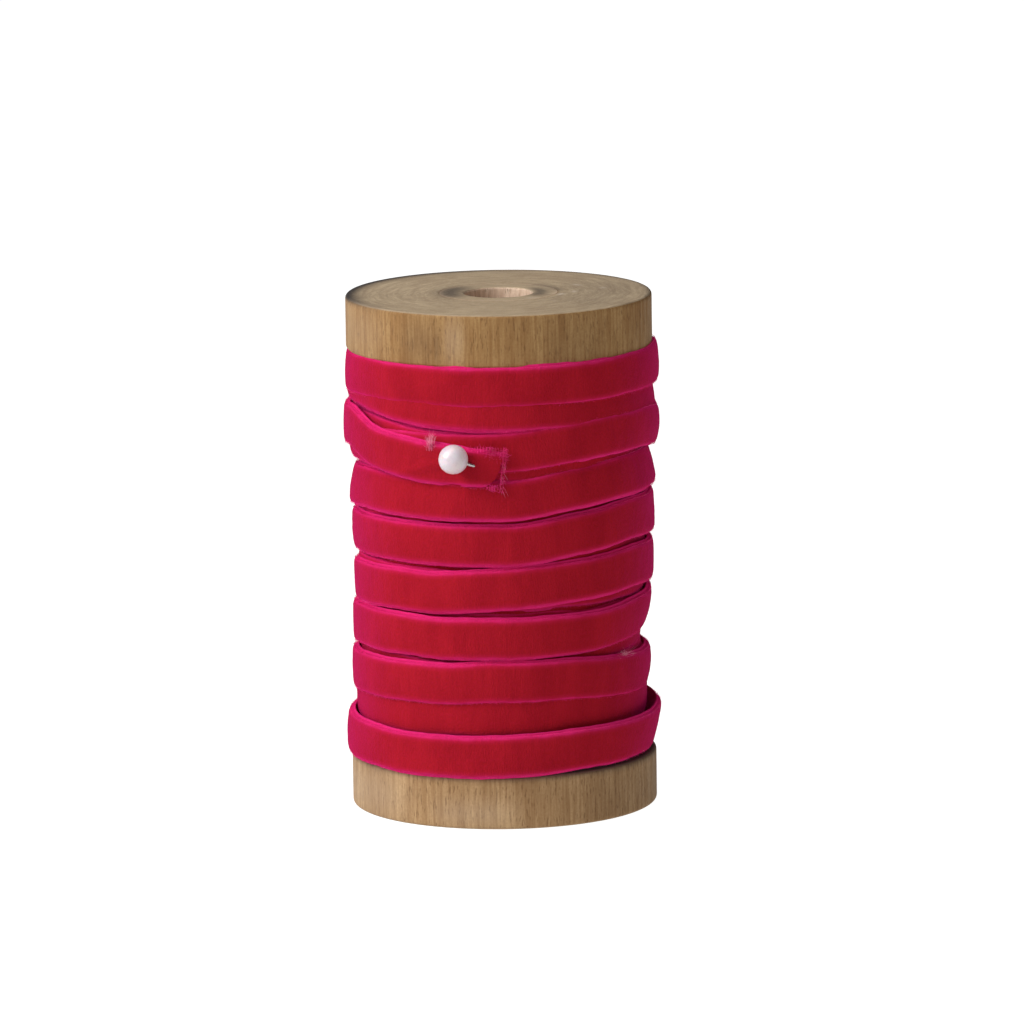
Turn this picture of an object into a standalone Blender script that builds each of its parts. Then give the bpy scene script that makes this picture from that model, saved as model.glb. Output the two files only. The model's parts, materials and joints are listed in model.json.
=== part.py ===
"""Ribbon spool: a three-piece wooden spool wound with narrow velvet ribbon, its loose end held by a pearl-headed pin.

Lengths are in metres and +Z is up. The origin is on the spool's axis, at the foot of the lower flange,
and the ribbon's loose end lies on the front, which faces -Y.
"""

import math

import bmesh
import bpy
from mathutils import Matrix, Vector

# Wooden spool: two flanges on the tenons of a bored core
SPOOL_HEIGHT = 0.0843
FLANGE_RADIUS = 0.0250
FLANGE_THICKNESS = 0.0087
CORE_RADIUS = 0.0215
TENON_RADIUS = 0.0095
BORE_RADIUS = 0.0055
RIM_EASING = 0.0005
BORE_EASING = 0.0004
EASING_STEPS = 3

# Clearances between pieces that touch
SEAT_GAP = 0.0003
TENON_GAP = 0.00015
PIN_SEAT_GAP = 0.0001

# Velvet ribbon, three layers deep, each layer as one ring
RIBBON_WIDTH = 0.0070
LAYER_THICKNESS = 0.0007
LAYER_PITCH = LAYER_THICKNESS + SEAT_GAP
INNER_WINDING_RADIUS = CORE_RADIUS + SEAT_GAP
MIDDLE_WINDING_RADIUS = INNER_WINDING_RADIUS + LAYER_PITCH
OUTER_WINDING_RADIUS = MIDDLE_WINDING_RADIUS + LAYER_PITCH
OUTER_WINDING_SURFACE = OUTER_WINDING_RADIUS + 0.0010
WINDING_FOOT = FLANGE_THICKNESS + SEAT_GAP
WINDING_TOP = SPOOL_HEIGHT - FLANGE_THICKNESS - SEAT_GAP
TOP_TURNS_FOOT = 0.0672          # the two highest turns stand out as a collar above this height
TOP_TURNS_SURFACE = 0.0257
LOWEST_TURN_TOP = 0.0160         # the lowest turn is loose, so it bulges past the flange
LOWEST_TURN_SURFACE = 0.0256

# Loose end, laid over the last turn: bearings are in degrees from the front, positive to the right
TAIL_RADIUS = OUTER_WINDING_SURFACE + SEAT_GAP
TAIL_THICKNESS = 0.0006
TAIL_MIDLINE = ((-160, 0.0624), (-90, 0.0634), (-62, 0.0622), (-38, 0.0604), (-15, 0.0597), (1.5, 0.0590))
TAIL_STEP = 4.0

# Pearl-headed pin, pushed through the loose end and the layers under it
PEARL_RADIUS = 0.0024
PEARL_CENTRE = Vector((-0.0076, -0.0273, 0.0614))
PIN_LENGTH = 0.0290              # from the top of the pearl to the point
PIN_RADIUS = 0.0003
PIN_POINT_LENGTH = 0.0025
PIN_AZIMUTH = math.radians(21.7)
PIN_DIP = math.radians(20.0)
PIN_SIDES = 12
CHANNEL_RADIUS = PIN_RADIUS + 0.0002
CHANNEL_PAST_POINT = 0.0005

ROUND_SIDES = 72
FRONT_BEARING = -math.pi / 2     # the front, as an angle about +Z from +X

PIN_DIRECTION = Vector((
    math.cos(PIN_AZIMUTH) * math.cos(PIN_DIP),
    math.sin(PIN_AZIMUTH) * math.cos(PIN_DIP),
    -math.sin(PIN_DIP),
))


def clear_scene():
    """Removes whatever the scene holds."""
    for obj in list(bpy.data.objects):
        bpy.data.objects.remove(obj)


def finish_material(name, colour, roughness, metallic=0.0):
    """A plain Principled material."""
    material = bpy.data.materials.new(name)
    material.use_nodes = True
    shader = material.node_tree.nodes["Principled BSDF"]
    shader.inputs["Base Color"].default_value = (*colour, 1.0)
    shader.inputs["Roughness"].default_value = roughness
    shader.inputs["Metallic"].default_value = metallic
    material.diffuse_color = (*colour, 1.0)
    return material


def add_object(name, bm, material, smooth_angle=30.0):
    """Turns a bmesh into a named object, smooth on its round sides and crisp on its edges."""
    bmesh.ops.recalc_face_normals(bm, faces=bm.faces)
    mesh = bpy.data.meshes.new(name)
    bm.to_mesh(mesh)
    bm.free()
    mesh.shade_smooth()
    mesh.set_sharp_from_angle(angle=math.radians(smooth_angle))
    mesh.materials.append(material)
    obj = bpy.data.objects.new(name, mesh)
    bpy.context.scene.collection.objects.link(obj)
    return obj


def eased_corner(radius, height, outward, upward, easing):
    """Points of a rounded corner of a turned outline, from the end face round to the side wall.

    outward and upward are +1 or -1: which way the material's corner points.
    """
    centre_radius = radius - outward * easing
    centre_height = height - upward * easing
    points = []
    for step in range(EASING_STEPS):
        angle = math.pi / 2 * (1 - step / (EASING_STEPS - 1))
        points.append((
            centre_radius + outward * easing * math.cos(angle),
            centre_height + upward * easing * math.sin(angle),
        ))
    return points


def turned(name, outline, material, sides=ROUND_SIDES):
    """A closed outline of (radius, height) points, turned a full circle about the spool's axis."""
    bm = bmesh.new()
    corners = [bm.verts.new((radius, 0.0, height)) for radius, height in outline]
    edges = [bm.edges.new((corners[i - 1], corners[i])) for i in range(len(corners))]
    bmesh.ops.spin(
        bm, geom=corners + edges, cent=(0, 0, 0), axis=(0, 0, 1),
        angle=2 * math.pi, steps=sides, use_merge=True,
    )
    return add_object(name, bm, material)


def core(material):
    """The bored core: a barrel between the flanges with a tenon at each end."""
    upper_shoulder = SPOOL_HEIGHT - FLANGE_THICKNESS - SEAT_GAP
    lower_shoulder = FLANGE_THICKNESS + SEAT_GAP
    bottom_mouth = eased_corner(BORE_RADIUS, 0.0, -1, -1, BORE_EASING)
    top_mouth = eased_corner(BORE_RADIUS, SPOOL_HEIGHT, -1, 1, BORE_EASING)
    outline = [
        *reversed(bottom_mouth),
        (TENON_RADIUS, 0.0),
        (TENON_RADIUS, lower_shoulder),
        (CORE_RADIUS, lower_shoulder),
        (CORE_RADIUS, upper_shoulder),
        (TENON_RADIUS, upper_shoulder),
        (TENON_RADIUS, SPOOL_HEIGHT),
        *top_mouth,
    ]
    return turned("spool_core", outline, material)


def flange(name, foot, material):
    """A disc with eased rims and a round mortise for the core's tenon, standing on height foot."""
    mortise = TENON_RADIUS + TENON_GAP
    top = foot + FLANGE_THICKNESS
    outline = [
        (mortise, foot),
        *eased_corner(FLANGE_RADIUS, foot, 1, -1, RIM_EASING),
        *reversed(eased_corner(FLANGE_RADIUS, top, 1, 1, RIM_EASING)),
        (mortise, top),
    ]
    return turned(name, outline, material)


def winding(name, inner_radius, bands, material):
    """A layer of ribbon as one ring. bands are (foot, top, outer radius), from the lowest up."""
    outline = [(inner_radius, bands[0][0])]
    for foot, top, outer_radius in bands:
        outline += [(outer_radius, foot), (outer_radius, top)]
    outline.append((inner_radius, bands[-1][1]))
    return turned(name, outline, material)


def smooth_height(bearing, knots):
    """Height at a bearing, easing smoothly from each (bearing, height) knot to the next."""
    for (start, low), (end, high) in zip(knots, knots[1:]):
        if bearing <= end:
            share = max(0.0, (bearing - start) / (end - start))
            return low + (high - low) * (share * share * (3 - 2 * share) + share) / 2
    return knots[-1][1]


def at_bearing(bearing, radius, height):
    """The point at a bearing in degrees from the front, positive to the right."""
    angle = math.radians(bearing) + FRONT_BEARING
    return Vector((radius * math.cos(angle), radius * math.sin(angle), height))


def loose_end(name, material):
    """The ribbon's last stretch: a flat band laid round the winding, sloping down to its cut end."""
    first, last = TAIL_MIDLINE[0][0], TAIL_MIDLINE[-1][0]
    steps = math.ceil((last - first) / TAIL_STEP)
    bm = bmesh.new()
    sections = []
    for step in range(steps + 1):
        bearing = first + (last - first) * step / steps
        middle = smooth_height(bearing, TAIL_MIDLINE)
        corners = []
        for radius, side in ((0, -1), (TAIL_THICKNESS, -1), (TAIL_THICKNESS, 1), (0, 1)):
            height = middle + side * RIBBON_WIDTH / 2
            corners.append(bm.verts.new(at_bearing(bearing, TAIL_RADIUS + radius, height)))
        sections.append(corners)
    for start, end in zip(sections, sections[1:]):
        for i in range(4):
            bm.faces.new((start[i - 1], start[i], end[i], end[i - 1]))
    bm.faces.new(sections[0])
    bm.faces.new(sections[-1])
    return add_object(name, bm, material)


def pin_frame():
    """The matrix that puts +Z along the pin, from the pearl's centre towards the point."""
    turn = PIN_DIRECTION.to_track_quat("Z", "Y").to_matrix().to_4x4()
    return Matrix.Translation(PEARL_CENTRE) @ turn


def rod(bm, rings):
    """A closed round rod along +Z from (radius, height) rings. A radius of 0 makes a point."""
    loops = []
    for radius, height in rings:
        if radius == 0:
            loops.append([bm.verts.new((0, 0, height))])
            continue
        angles = (2 * math.pi * side / PIN_SIDES for side in range(PIN_SIDES))
        loops.append([bm.verts.new((radius * math.cos(a), radius * math.sin(a), height)) for a in angles])
    for lower, upper in zip(loops, loops[1:]):
        for i in range(PIN_SIDES):
            if len(upper) == 1:
                bm.faces.new((lower[i - 1], lower[i], upper[0]))
            else:
                bm.faces.new((lower[i - 1], lower[i], upper[i], upper[i - 1]))
    for end in (loops[0], loops[-1]):
        if len(end) > 1:
            bm.faces.new(end)


def pin_shaft(material):
    """The pin's wire, from the pearl's centre to its tapered point."""
    to_point = PIN_LENGTH - PEARL_RADIUS
    bm = bmesh.new()
    rod(bm, [(PIN_RADIUS, 0.0), (PIN_RADIUS, to_point - PIN_POINT_LENGTH), (0.0, to_point)])
    return add_object("pin_shaft", bm, material, smooth_angle=45.0)


def cutter(name, radius, start, end):
    """A hidden round cutter along +Z."""
    bm = bmesh.new()
    rod(bm, [(radius, start), (radius, end)])
    bmesh.ops.recalc_face_normals(bm, faces=bm.faces)
    mesh = bpy.data.meshes.new(name)
    bm.to_mesh(mesh)
    bm.free()
    obj = bpy.data.objects.new(name, mesh)
    obj.hide_render = True
    obj.display_type = "WIRE"
    bpy.context.scene.collection.objects.link(obj)
    return obj


def cut(obj, tool):
    """Cuts tool's shape out of obj."""
    modifier = obj.modifiers.new(f"cut {tool.name}", "BOOLEAN")
    modifier.operation = "DIFFERENCE"
    modifier.solver = "EXACT"
    modifier.object = tool


def pearl_head(material):
    """The imitation pearl, with the blind hole that its wire sits in."""
    bm = bmesh.new()
    bmesh.ops.create_uvsphere(bm, u_segments=24, v_segments=16, radius=PEARL_RADIUS)
    return add_object("pearl_head", bm, material, smooth_angle=60.0)


def main():
    clear_scene()
    flange_wood = finish_material("flange_wood", (0.42, 0.28, 0.17), 0.75)
    core_wood = finish_material("core_wood", (0.36, 0.24, 0.15), 0.8)
    velvet = finish_material("velvet_ribbon", (0.52, 0.01, 0.06), 0.9)
    steel = finish_material("pin_steel", (0.62, 0.62, 0.64), 0.25, metallic=1.0)
    pearl = finish_material("pearl", (0.88, 0.86, 0.83), 0.2)

    core(core_wood)
    flange("bottom_flange", 0.0, flange_wood)
    flange("top_flange", SPOOL_HEIGHT - FLANGE_THICKNESS, flange_wood)

    inner = winding(
        "ribbon_inner_winding", INNER_WINDING_RADIUS,
        [(WINDING_FOOT, WINDING_TOP, INNER_WINDING_RADIUS + LAYER_THICKNESS)], velvet,
    )
    middle = winding(
        "ribbon_middle_winding", MIDDLE_WINDING_RADIUS,
        [
            (WINDING_FOOT, TOP_TURNS_FOOT, MIDDLE_WINDING_RADIUS + LAYER_THICKNESS),
            (TOP_TURNS_FOOT, WINDING_TOP, TOP_TURNS_SURFACE),
        ], velvet,
    )
    outer = winding(
        "ribbon_outer_winding", OUTER_WINDING_RADIUS,
        [
            (WINDING_FOOT, LOWEST_TURN_TOP, LOWEST_TURN_SURFACE),
            (LOWEST_TURN_TOP, TOP_TURNS_FOOT - SEAT_GAP, OUTER_WINDING_SURFACE),
        ], velvet,
    )
    tail = loose_end("ribbon_tail", velvet)

    pin_axis = bpy.data.objects.new("pin_axis", None)
    pin_axis.matrix_world = pin_frame()
    bpy.context.scene.collection.objects.link(pin_axis)
    shaft = pin_shaft(steel)
    head = pearl_head(pearl)
    head_hole = cutter("pearl_hole_cutter", PIN_RADIUS + PIN_SEAT_GAP, -SEAT_GAP, 2 * PEARL_RADIUS)
    channel_end = PIN_LENGTH - PEARL_RADIUS + CHANNEL_PAST_POINT
    channel = cutter("pin_channel_cutter", CHANNEL_RADIUS, 0.0, channel_end)
    for obj in (shaft, head, head_hole, channel):
        obj.parent = pin_axis
    cut(head, head_hole)
    for layer in (inner, middle, outer, tail):
        cut(layer, channel)


main()
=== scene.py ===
"""The looks of a wooden ribbon spool wound with crimson velvet, its loose end held by a pearl-headed pin.

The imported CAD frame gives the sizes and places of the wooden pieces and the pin. The ribbon's winding is laid
out here turn by turn, to fill the place of its CAD layers. The three turned wooden pieces, the wound ribbon
and the pearl are built here in fine meshes; the pin's wire is the CAD node with a better finish.
"""

import json
import logging
import math
from dataclasses import dataclass
from enum import Enum

import bmesh
import bpy
import numpy as np
from mathutils import Matrix, Vector


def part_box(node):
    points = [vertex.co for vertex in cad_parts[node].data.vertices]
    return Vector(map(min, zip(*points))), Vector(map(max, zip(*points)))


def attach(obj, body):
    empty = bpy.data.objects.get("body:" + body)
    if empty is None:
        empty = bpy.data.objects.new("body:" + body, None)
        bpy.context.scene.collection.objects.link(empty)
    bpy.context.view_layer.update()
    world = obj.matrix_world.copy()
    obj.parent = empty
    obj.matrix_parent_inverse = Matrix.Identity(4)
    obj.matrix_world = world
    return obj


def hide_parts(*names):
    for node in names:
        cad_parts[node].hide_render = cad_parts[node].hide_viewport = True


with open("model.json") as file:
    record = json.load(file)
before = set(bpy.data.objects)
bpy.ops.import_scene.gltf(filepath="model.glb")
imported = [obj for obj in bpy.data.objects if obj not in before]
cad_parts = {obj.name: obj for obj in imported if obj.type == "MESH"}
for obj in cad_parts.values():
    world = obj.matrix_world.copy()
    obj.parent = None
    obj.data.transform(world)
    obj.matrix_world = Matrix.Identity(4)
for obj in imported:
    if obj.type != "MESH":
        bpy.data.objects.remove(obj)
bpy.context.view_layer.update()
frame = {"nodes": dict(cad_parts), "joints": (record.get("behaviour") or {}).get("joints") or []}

LOG = logging.getLogger("ribbon_spool")
MM = 0.001
MERGE_DISTANCE = 0.0001 * MM
HALF_RIBBON = 3.5 * MM

Triple = tuple[float, float, float]
Colour = Triple
Socket = bpy.types.NodeSocket
Setting = str | bool | bpy.types.NodeTree


# ------------------------------------------------------------------ sizes read from the frame


@dataclass(frozen=True)
class SpoolFrame:
    """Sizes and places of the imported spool, in metres."""

    height: float
    flange_radius: float
    flange_thickness: float
    core_radius: float
    mortise_radius: float
    bore_radius: float
    pearl_centre: Vector
    pearl_radius: float
    pin_direction: Vector

    @staticmethod
    def _turned(node: str) -> tuple[np.ndarray, np.ndarray]:
        """Radius and height of each point of a turned CAD node.

        Args:
            node: The CAD node's name.

        Returns:
            The points' distances from the spool's axis, and their heights.
        """
        points = np.array([v.co for v in frame["nodes"][node].data.vertices])
        return np.hypot(points[:, 0], points[:, 1]), points[:, 2]

    @classmethod
    def read(cls) -> "SpoolFrame":
        """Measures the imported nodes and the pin's joint.

        Returns:
            The spool's sizes.
        """
        core_radii, core_heights = cls._turned("spool_core")
        flange_radii, flange_heights = cls._turned("bottom_flange")
        pearl_low, pearl_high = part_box("pearl_head")
        outward = Vector(frame["joints"][0]["axis"]).normalized()
        height = float(core_heights.max())
        return cls(
            height=height,
            flange_radius=float(flange_radii.max()),
            flange_thickness=float(np.ptp(flange_heights)),
            core_radius=float(core_radii.max()),
            mortise_radius=float(flange_radii.min()),
            bore_radius=float(core_radii.min()),
            pearl_centre=(pearl_low + pearl_high) / 2,
            pearl_radius=float((pearl_high - pearl_low).z) / 2,
            pin_direction=-outward,
        )

    @property
    def upper_flange_foot(self) -> float:
        """Height of the upper flange's lower face."""
        return self.height - self.flange_thickness

    def pin_entry(self, radius: float) -> Vector:
        """Where the pin's axis goes in through a round surface.

        Args:
            radius: The surface's radius about the spool's axis.

        Returns:
            The point on the pin's axis.
        """
        start, along = self.pearl_centre, self.pin_direction
        a = along.x**2 + along.y**2
        b = 2 * (start.x * along.x + start.y * along.y)
        c = start.x**2 + start.y**2 - radius**2
        return start + along * ((-b - math.sqrt(b * b - 4 * a * c)) / (2 * a))


# ------------------------------------------------------------------ node trees


class NodeGraph:
    """Adds and links the nodes of one tree with few words."""

    def __init__(self, tree: bpy.types.NodeTree) -> None:
        """Starts on a tree, new or not."""
        self.tree = tree

    def add(self, kind: str, inputs: dict | None = None, **settings: Setting) -> bpy.types.Node:
        """Adds a node.

        Args:
            kind: The node's type.
            inputs: Values or sockets for its inputs, by name or number.
            **settings: Properties to set on the node first.

        Returns:
            The node.
        """
        node = self.tree.nodes.new(kind)
        for name, value in settings.items():
            setattr(node, name, value)
        self.fill(node, inputs or {})
        return node

    def fill(self, node: bpy.types.Node, inputs: dict) -> None:
        """Gives a node's inputs, by name or number, their values or sockets.

        Args:
            node: The node.
            inputs: Values or sockets, by the input's name or number.
        """
        for key, value in inputs.items():
            if isinstance(value, Socket):
                self.tree.links.new(value, node.inputs[key])
            else:
                node.inputs[key].default_value = value

    def place(self, group: bpy.types.NodeTree, values: dict) -> bpy.types.NodeOutputs:
        """Adds a shared shader group with its own values and returns what it gives."""
        return self.add("ShaderNodeGroup", values, node_tree=group).outputs

    def attribute(self, name: str) -> Socket:
        """Reads a piece's own value of that name."""
        return self.add("ShaderNodeAttribute", attribute_name=name).outputs["Fac"]

    def math(self, operation: str, a: Socket, b: Socket | float = 0.0) -> Socket:
        """Adds a Math node and returns its result."""
        return self.add("ShaderNodeMath", {0: a, 1: b}, operation=operation).outputs[0]

    def vector(self, operation: str, a: Socket, b: Socket | Triple = (0.0, 0.0, 0.0)) -> Socket:
        """Adds a Vector Math node and returns its vector."""
        return self.add("ShaderNodeVectorMath", {0: a, 1: b}, operation=operation).outputs["Vector"]

    def scaled(self, a: Socket, factor: float | Socket) -> Socket:
        """A vector times a number."""
        inputs = {0: a, "Scale": factor}
        return self.add("ShaderNodeVectorMath", inputs, operation="SCALE").outputs["Vector"]

    def distance(self, a: Socket, b: Socket | Triple = (0.0, 0.0, 0.0)) -> Socket:
        """The distance between two points, or of one from the origin."""
        return self.add("ShaderNodeVectorMath", {0: a, 1: b}, operation="DISTANCE").outputs["Value"]

    def spread(
        self, value: Socket, low: float, high: float, to_low: float = 0.0, to_high: float = 1.0
    ) -> Socket:
        """Eases a value's range onto another, clamped, and returns it."""
        inputs = {"Value": value, "From Min": low, "From Max": high, "To Min": to_low, "To Max": to_high}
        return self.add("ShaderNodeMapRange", inputs, interpolation_type="SMOOTHSTEP").outputs[0]

    def noise(self, place: Socket, scale: float | Socket, detail: float = 2.0) -> Socket:
        """A noise value at a place, from 0 to 1."""
        return self.add("ShaderNodeTexNoise", {"Vector": place, "Scale": scale, "Detail": detail}).outputs[0]

    def grey(self, tone: Socket) -> Socket:
        """A grey of that tone."""
        return self.add("ShaderNodeCombineColor", {0: tone, 1: tone, 2: tone}).outputs[0]

    def blend(self, share: Socket, first: Colour | Socket, second: Colour | Socket) -> Socket:
        """Mixes two colours and returns the result."""
        inputs = {0: share, 6: rgba(first), 7: rgba(second)}
        return self.add("ShaderNodeMix", inputs, data_type="RGBA", clamp_factor=True).outputs[2]

    def deepen(self, colour: Colour | Socket, layers: tuple[tuple, ...]) -> Socket:
        """Lays further colours over one.

        Args:
            colour: The colour to start from.
            layers: For each layer a mask, its strength and its colour.

        Returns:
            The result.
        """
        for mask, strength, other in layers:
            colour = self.blend(self.math("MULTIPLY", mask, strength), colour, other)
        return colour

    def bump(self, height: Socket, strength: float, distance: float) -> Socket:
        """A normal that follows a height."""
        inputs = {"Height": height, "Strength": strength, "Distance": distance}
        return self.add("ShaderNodeBump", inputs).outputs[0]

    def blend_value(self, share: Socket, first: Socket, second: Socket) -> Socket:
        """Mixes two values and returns the result."""
        return self.add("ShaderNodeMix", {0: share, 2: first, 3: second}, data_type="FLOAT").outputs[0]

    def output(self, result: Socket, name: str) -> None:
        """Links a result to the group's output of that name."""
        end = next(node for node in self.tree.nodes if node.bl_idname == "NodeGroupOutput")
        self.tree.links.new(result, end.inputs[name])

    def dressed(self, geometry: Socket, material: Socket) -> None:
        """Ends a geometry tree: instances made real, and the material on them."""
        whole = self.add("GeometryNodeRealizeInstances", {"Geometry": geometry}).outputs[0]
        finished = self.add("GeometryNodeSetMaterial", {"Geometry": whole, "Material": material})
        self.output(finished.outputs[0], "Geometry")


def rgba(colour: Colour | Socket) -> tuple[float, float, float, float] | Socket:
    """A colour with full alpha; a socket stays as it is."""
    return colour if isinstance(colour, Socket) else (*colour, 1.0)


class SocketKind(Enum):
    """Types of a group's sockets."""

    VALUE = "NodeSocketFloat"
    WHOLE = "NodeSocketInt"
    VECTOR = "NodeSocketVector"
    GEOMETRY = "NodeSocketGeometry"
    MATERIAL = "NodeSocketMaterial"


@dataclass(frozen=True)
class Port:
    """One named input or output of a node group."""

    name: str
    kind: SocketKind
    default: float | int | None = None


def new_group(
    name: str, kind: str, inputs: list[Port], outputs: list[Port]
) -> tuple[NodeGraph, dict[str, Socket]]:
    """Makes an empty node group with named sockets.

    Args:
        name: The group's name.
        kind: ShaderNodeTree or GeometryNodeTree.
        inputs: What it takes.
        outputs: What it gives.

    Returns:
        The graph to build in, and the input sockets by name.
    """
    tree = bpy.data.node_groups.new(name, kind)
    for side, ports in (("INPUT", inputs), ("OUTPUT", outputs)):
        for port in ports:
            item = tree.interface.new_socket(port.name, in_out=side, socket_type=port.kind.value)
            if port.default is not None:
                item.default_value = port.default
    start = tree.nodes.new("NodeGroupInput")
    tree.nodes.new("NodeGroupOutput")
    return NodeGraph(tree), {port.name: start.outputs[port.name] for port in inputs}


def run_tree(host: bpy.types.Object, tree: bpy.types.NodeTree, name: str, values: dict) -> bpy.types.Object:
    """Runs a Geometry Nodes tree on a host object and keeps the result as a plain mesh.

    Args:
        host: The object that the tree starts from; it is removed.
        tree: The tree.
        name: The new object's name.
        values: The tree's inputs by name.

    Returns:
        The new object.
    """
    modifier = host.modifiers.new("tree", "NODES")
    modifier.node_group = tree
    for item in tree.interface.items_tree:
        if item.item_type == "SOCKET" and item.in_out == "INPUT" and item.name in values:
            modifier[item.identifier] = values[item.name]
    graph = bpy.context.evaluated_depsgraph_get()
    mesh = bpy.data.meshes.new_from_object(host.evaluated_get(graph), depsgraph=graph)
    host.modifiers.remove(modifier)
    bpy.data.objects.remove(host)
    return add_object(name, mesh)


def add_object(
    name: str, mesh: bpy.types.Mesh, material: bpy.types.Material | None = None
) -> bpy.types.Object:
    """Puts a mesh into the scene as an object at the origin.

    Args:
        name: The object's name.
        mesh: Its mesh, in place.
        material: A material to put on it.

    Returns:
        The object.
    """
    mesh.name = name
    obj = bpy.data.objects.new(name, mesh)
    bpy.context.scene.collection.objects.link(obj)
    if material is not None:
        mesh.materials.clear()
        mesh.materials.append(material)
    return obj


def mesh_from(points: np.ndarray, faces: np.ndarray | list, edges: list | None = None) -> bpy.types.Mesh:
    """A mesh of the given points and faces.

    Args:
        points: The points.
        faces: The faces, as indices of points.
        edges: Edges that belong to no face.

    Returns:
        The mesh.
    """
    mesh = bpy.data.meshes.new("made")
    mesh.from_pydata(points.tolist(), edges or [], [list(map(int, face)) for face in faces])
    mesh.update()
    return mesh


def store_values(obj: bpy.types.Object, name: str, values: np.ndarray) -> None:
    """Stores a value for each point of a mesh object, for its material to read."""
    stored = obj.data.attributes.new(name, "FLOAT", "POINT")
    stored.data.foreach_set("value", values.astype(np.float32))


def face_outwards(obj: bpy.types.Object, smooth_angle: float) -> None:
    """Merges an object's doubles, turns its faces outwards and shades it smooth.

    Args:
        obj: A closed mesh object.
        smooth_angle: The sharpest angle, in degrees, that is still shaded smooth.
    """
    bm = bmesh.new()
    bm.from_mesh(obj.data)
    bmesh.ops.remove_doubles(bm, verts=bm.verts, dist=MERGE_DISTANCE)
    bmesh.ops.recalc_face_normals(bm, faces=bm.faces)
    if bm.calc_volume(signed=True) < 0:
        bmesh.ops.reverse_faces(bm, faces=bm.faces)
    bm.to_mesh(obj.data)
    bm.free()
    obj.data.shade_smooth()
    obj.data.set_sharp_from_angle(angle=math.radians(smooth_angle))


# ------------------------------------------------------------------ finishes


def material_graph(name: str) -> tuple[bpy.types.Material, NodeGraph, bpy.types.Node]:
    """Starts a material.

    Args:
        name: The material's name.

    Returns:
        The material, its graph and its Principled shader.
    """
    material = bpy.data.materials.new(name)
    material.use_nodes = True
    return material, NodeGraph(material.node_tree), material.node_tree.nodes["Principled BSDF"]


def soft_variation_group() -> bpy.types.NodeTree:
    """A shared effect: broad soft patches and fine specks, which keep a finish from looking even.

    Returns:
        The group. Patches and Specks run from 0 to 1.
    """
    graph, start = new_group(
        "soft_variation", "ShaderNodeTree",
        [
            Port("Place", SocketKind.VECTOR),
            Port("Patch Scale", SocketKind.VALUE, 120.0),
            Port("Speck Scale", SocketKind.VALUE, 2600.0),
        ],
        [Port("Patches", SocketKind.VALUE), Port("Specks", SocketKind.VALUE)],
    )
    for name, scale, detail in (("Patches", "Patch Scale", 3.0), ("Specks", "Speck Scale", 2.0)):
        graph.output(graph.spread(graph.noise(start["Place"], start[scale], detail), 0.32, 0.68), name)
    return graph.tree


def varied_material(
    name: str, variation: bpy.types.NodeTree, patch_scale: float, speck_scale: float
) -> tuple[bpy.types.Material, NodeGraph, bpy.types.Node, bpy.types.NodeOutputs]:
    """Starts a material that varies softly over its piece.

    Args:
        name: The material's name.
        variation: The shared soft variation.
        patch_scale: How fine the patches are.
        speck_scale: How fine the specks are.

    Returns:
        The material, its graph, its Principled shader, and the variation's Patches and Specks.
    """
    material, graph, shader = material_graph(name)
    here = graph.add("ShaderNodeTexCoord").outputs["Object"]
    scales = {"Patch Scale": patch_scale, "Speck Scale": speck_scale}
    return material, graph, shader, graph.place(variation, {"Place": here, **scales})


def wood_grain_group() -> bpy.types.NodeTree:
    """A shared effect: the fibres, bands, pores and year rings of a turned piece whose grain runs along Z.

    Returns:
        The group. Its outputs run from 0 to 1; Turning is the fine marks round the end faces.
    """
    graph, start = new_group(
        "wood_grain", "ShaderNodeTree",
        [
            Port("Place", SocketKind.VECTOR),
            Port("Fibre Scale", SocketKind.VALUE, 2300.0),
            Port("Band Scale", SocketKind.VALUE, 420.0),
            Port("Pore Scale", SocketKind.VALUE, 4200.0),
            Port("Ring Spacing", SocketKind.VALUE, 2.6 * MM),
        ],
        [Port(name, SocketKind.VALUE) for name in ("Fibres", "Bands", "Pores", "Rings", "Turning")],
    )
    place = start["Place"]
    pith = (2.5 * MM, 1.9 * MM, 0.0)
    sway_scale, sway_size, ring_sharpness = 70.0, 2.6 * MM, 1.8
    turning_reach, turning_scale = 3.5 * MM, 1700.0
    for name, scale, length, detail, low, high in (
        ("Fibres", "Fibre Scale", 0.05, 3.0, 0.33, 0.67),
        ("Bands", "Band Scale", 0.12, 2.0, 0.36, 0.64),
        ("Pores", "Pore Scale", 0.17, 1.0, 0.57, 0.72),
    ):
        drawn_out = graph.vector("MULTIPLY", place, (1.0, 1.0, length))
        graph.output(graph.spread(graph.noise(drawn_out, start[scale], detail), low, high), name)
    sway = graph.add("ShaderNodeTexNoise", {"Vector": place, "Scale": sway_scale, "Detail": 2.0})
    swayed = graph.vector("ADD", place, graph.scaled(sway.outputs["Color"], sway_size))
    flat = graph.vector("MULTIPLY", swayed, (1.0, 1.0, 0.0))
    from_pith = graph.distance(flat, pith)
    saw = graph.math("FRACT", graph.math("DIVIDE", from_pith, start["Ring Spacing"]))
    graph.output(graph.math("POWER", saw, ring_sharpness), "Rings")
    spoke = graph.scaled(graph.vector("NORMALIZE", flat), turning_reach)
    lifted = graph.add("ShaderNodeCombineXYZ", {2: graph.distance(flat)}).outputs[0]
    turning = graph.noise(graph.vector("ADD", spoke, lifted), turning_scale, 3.0)
    graph.output(graph.spread(turning, 0.34, 0.66), "Turning")
    return graph.tree


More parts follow.
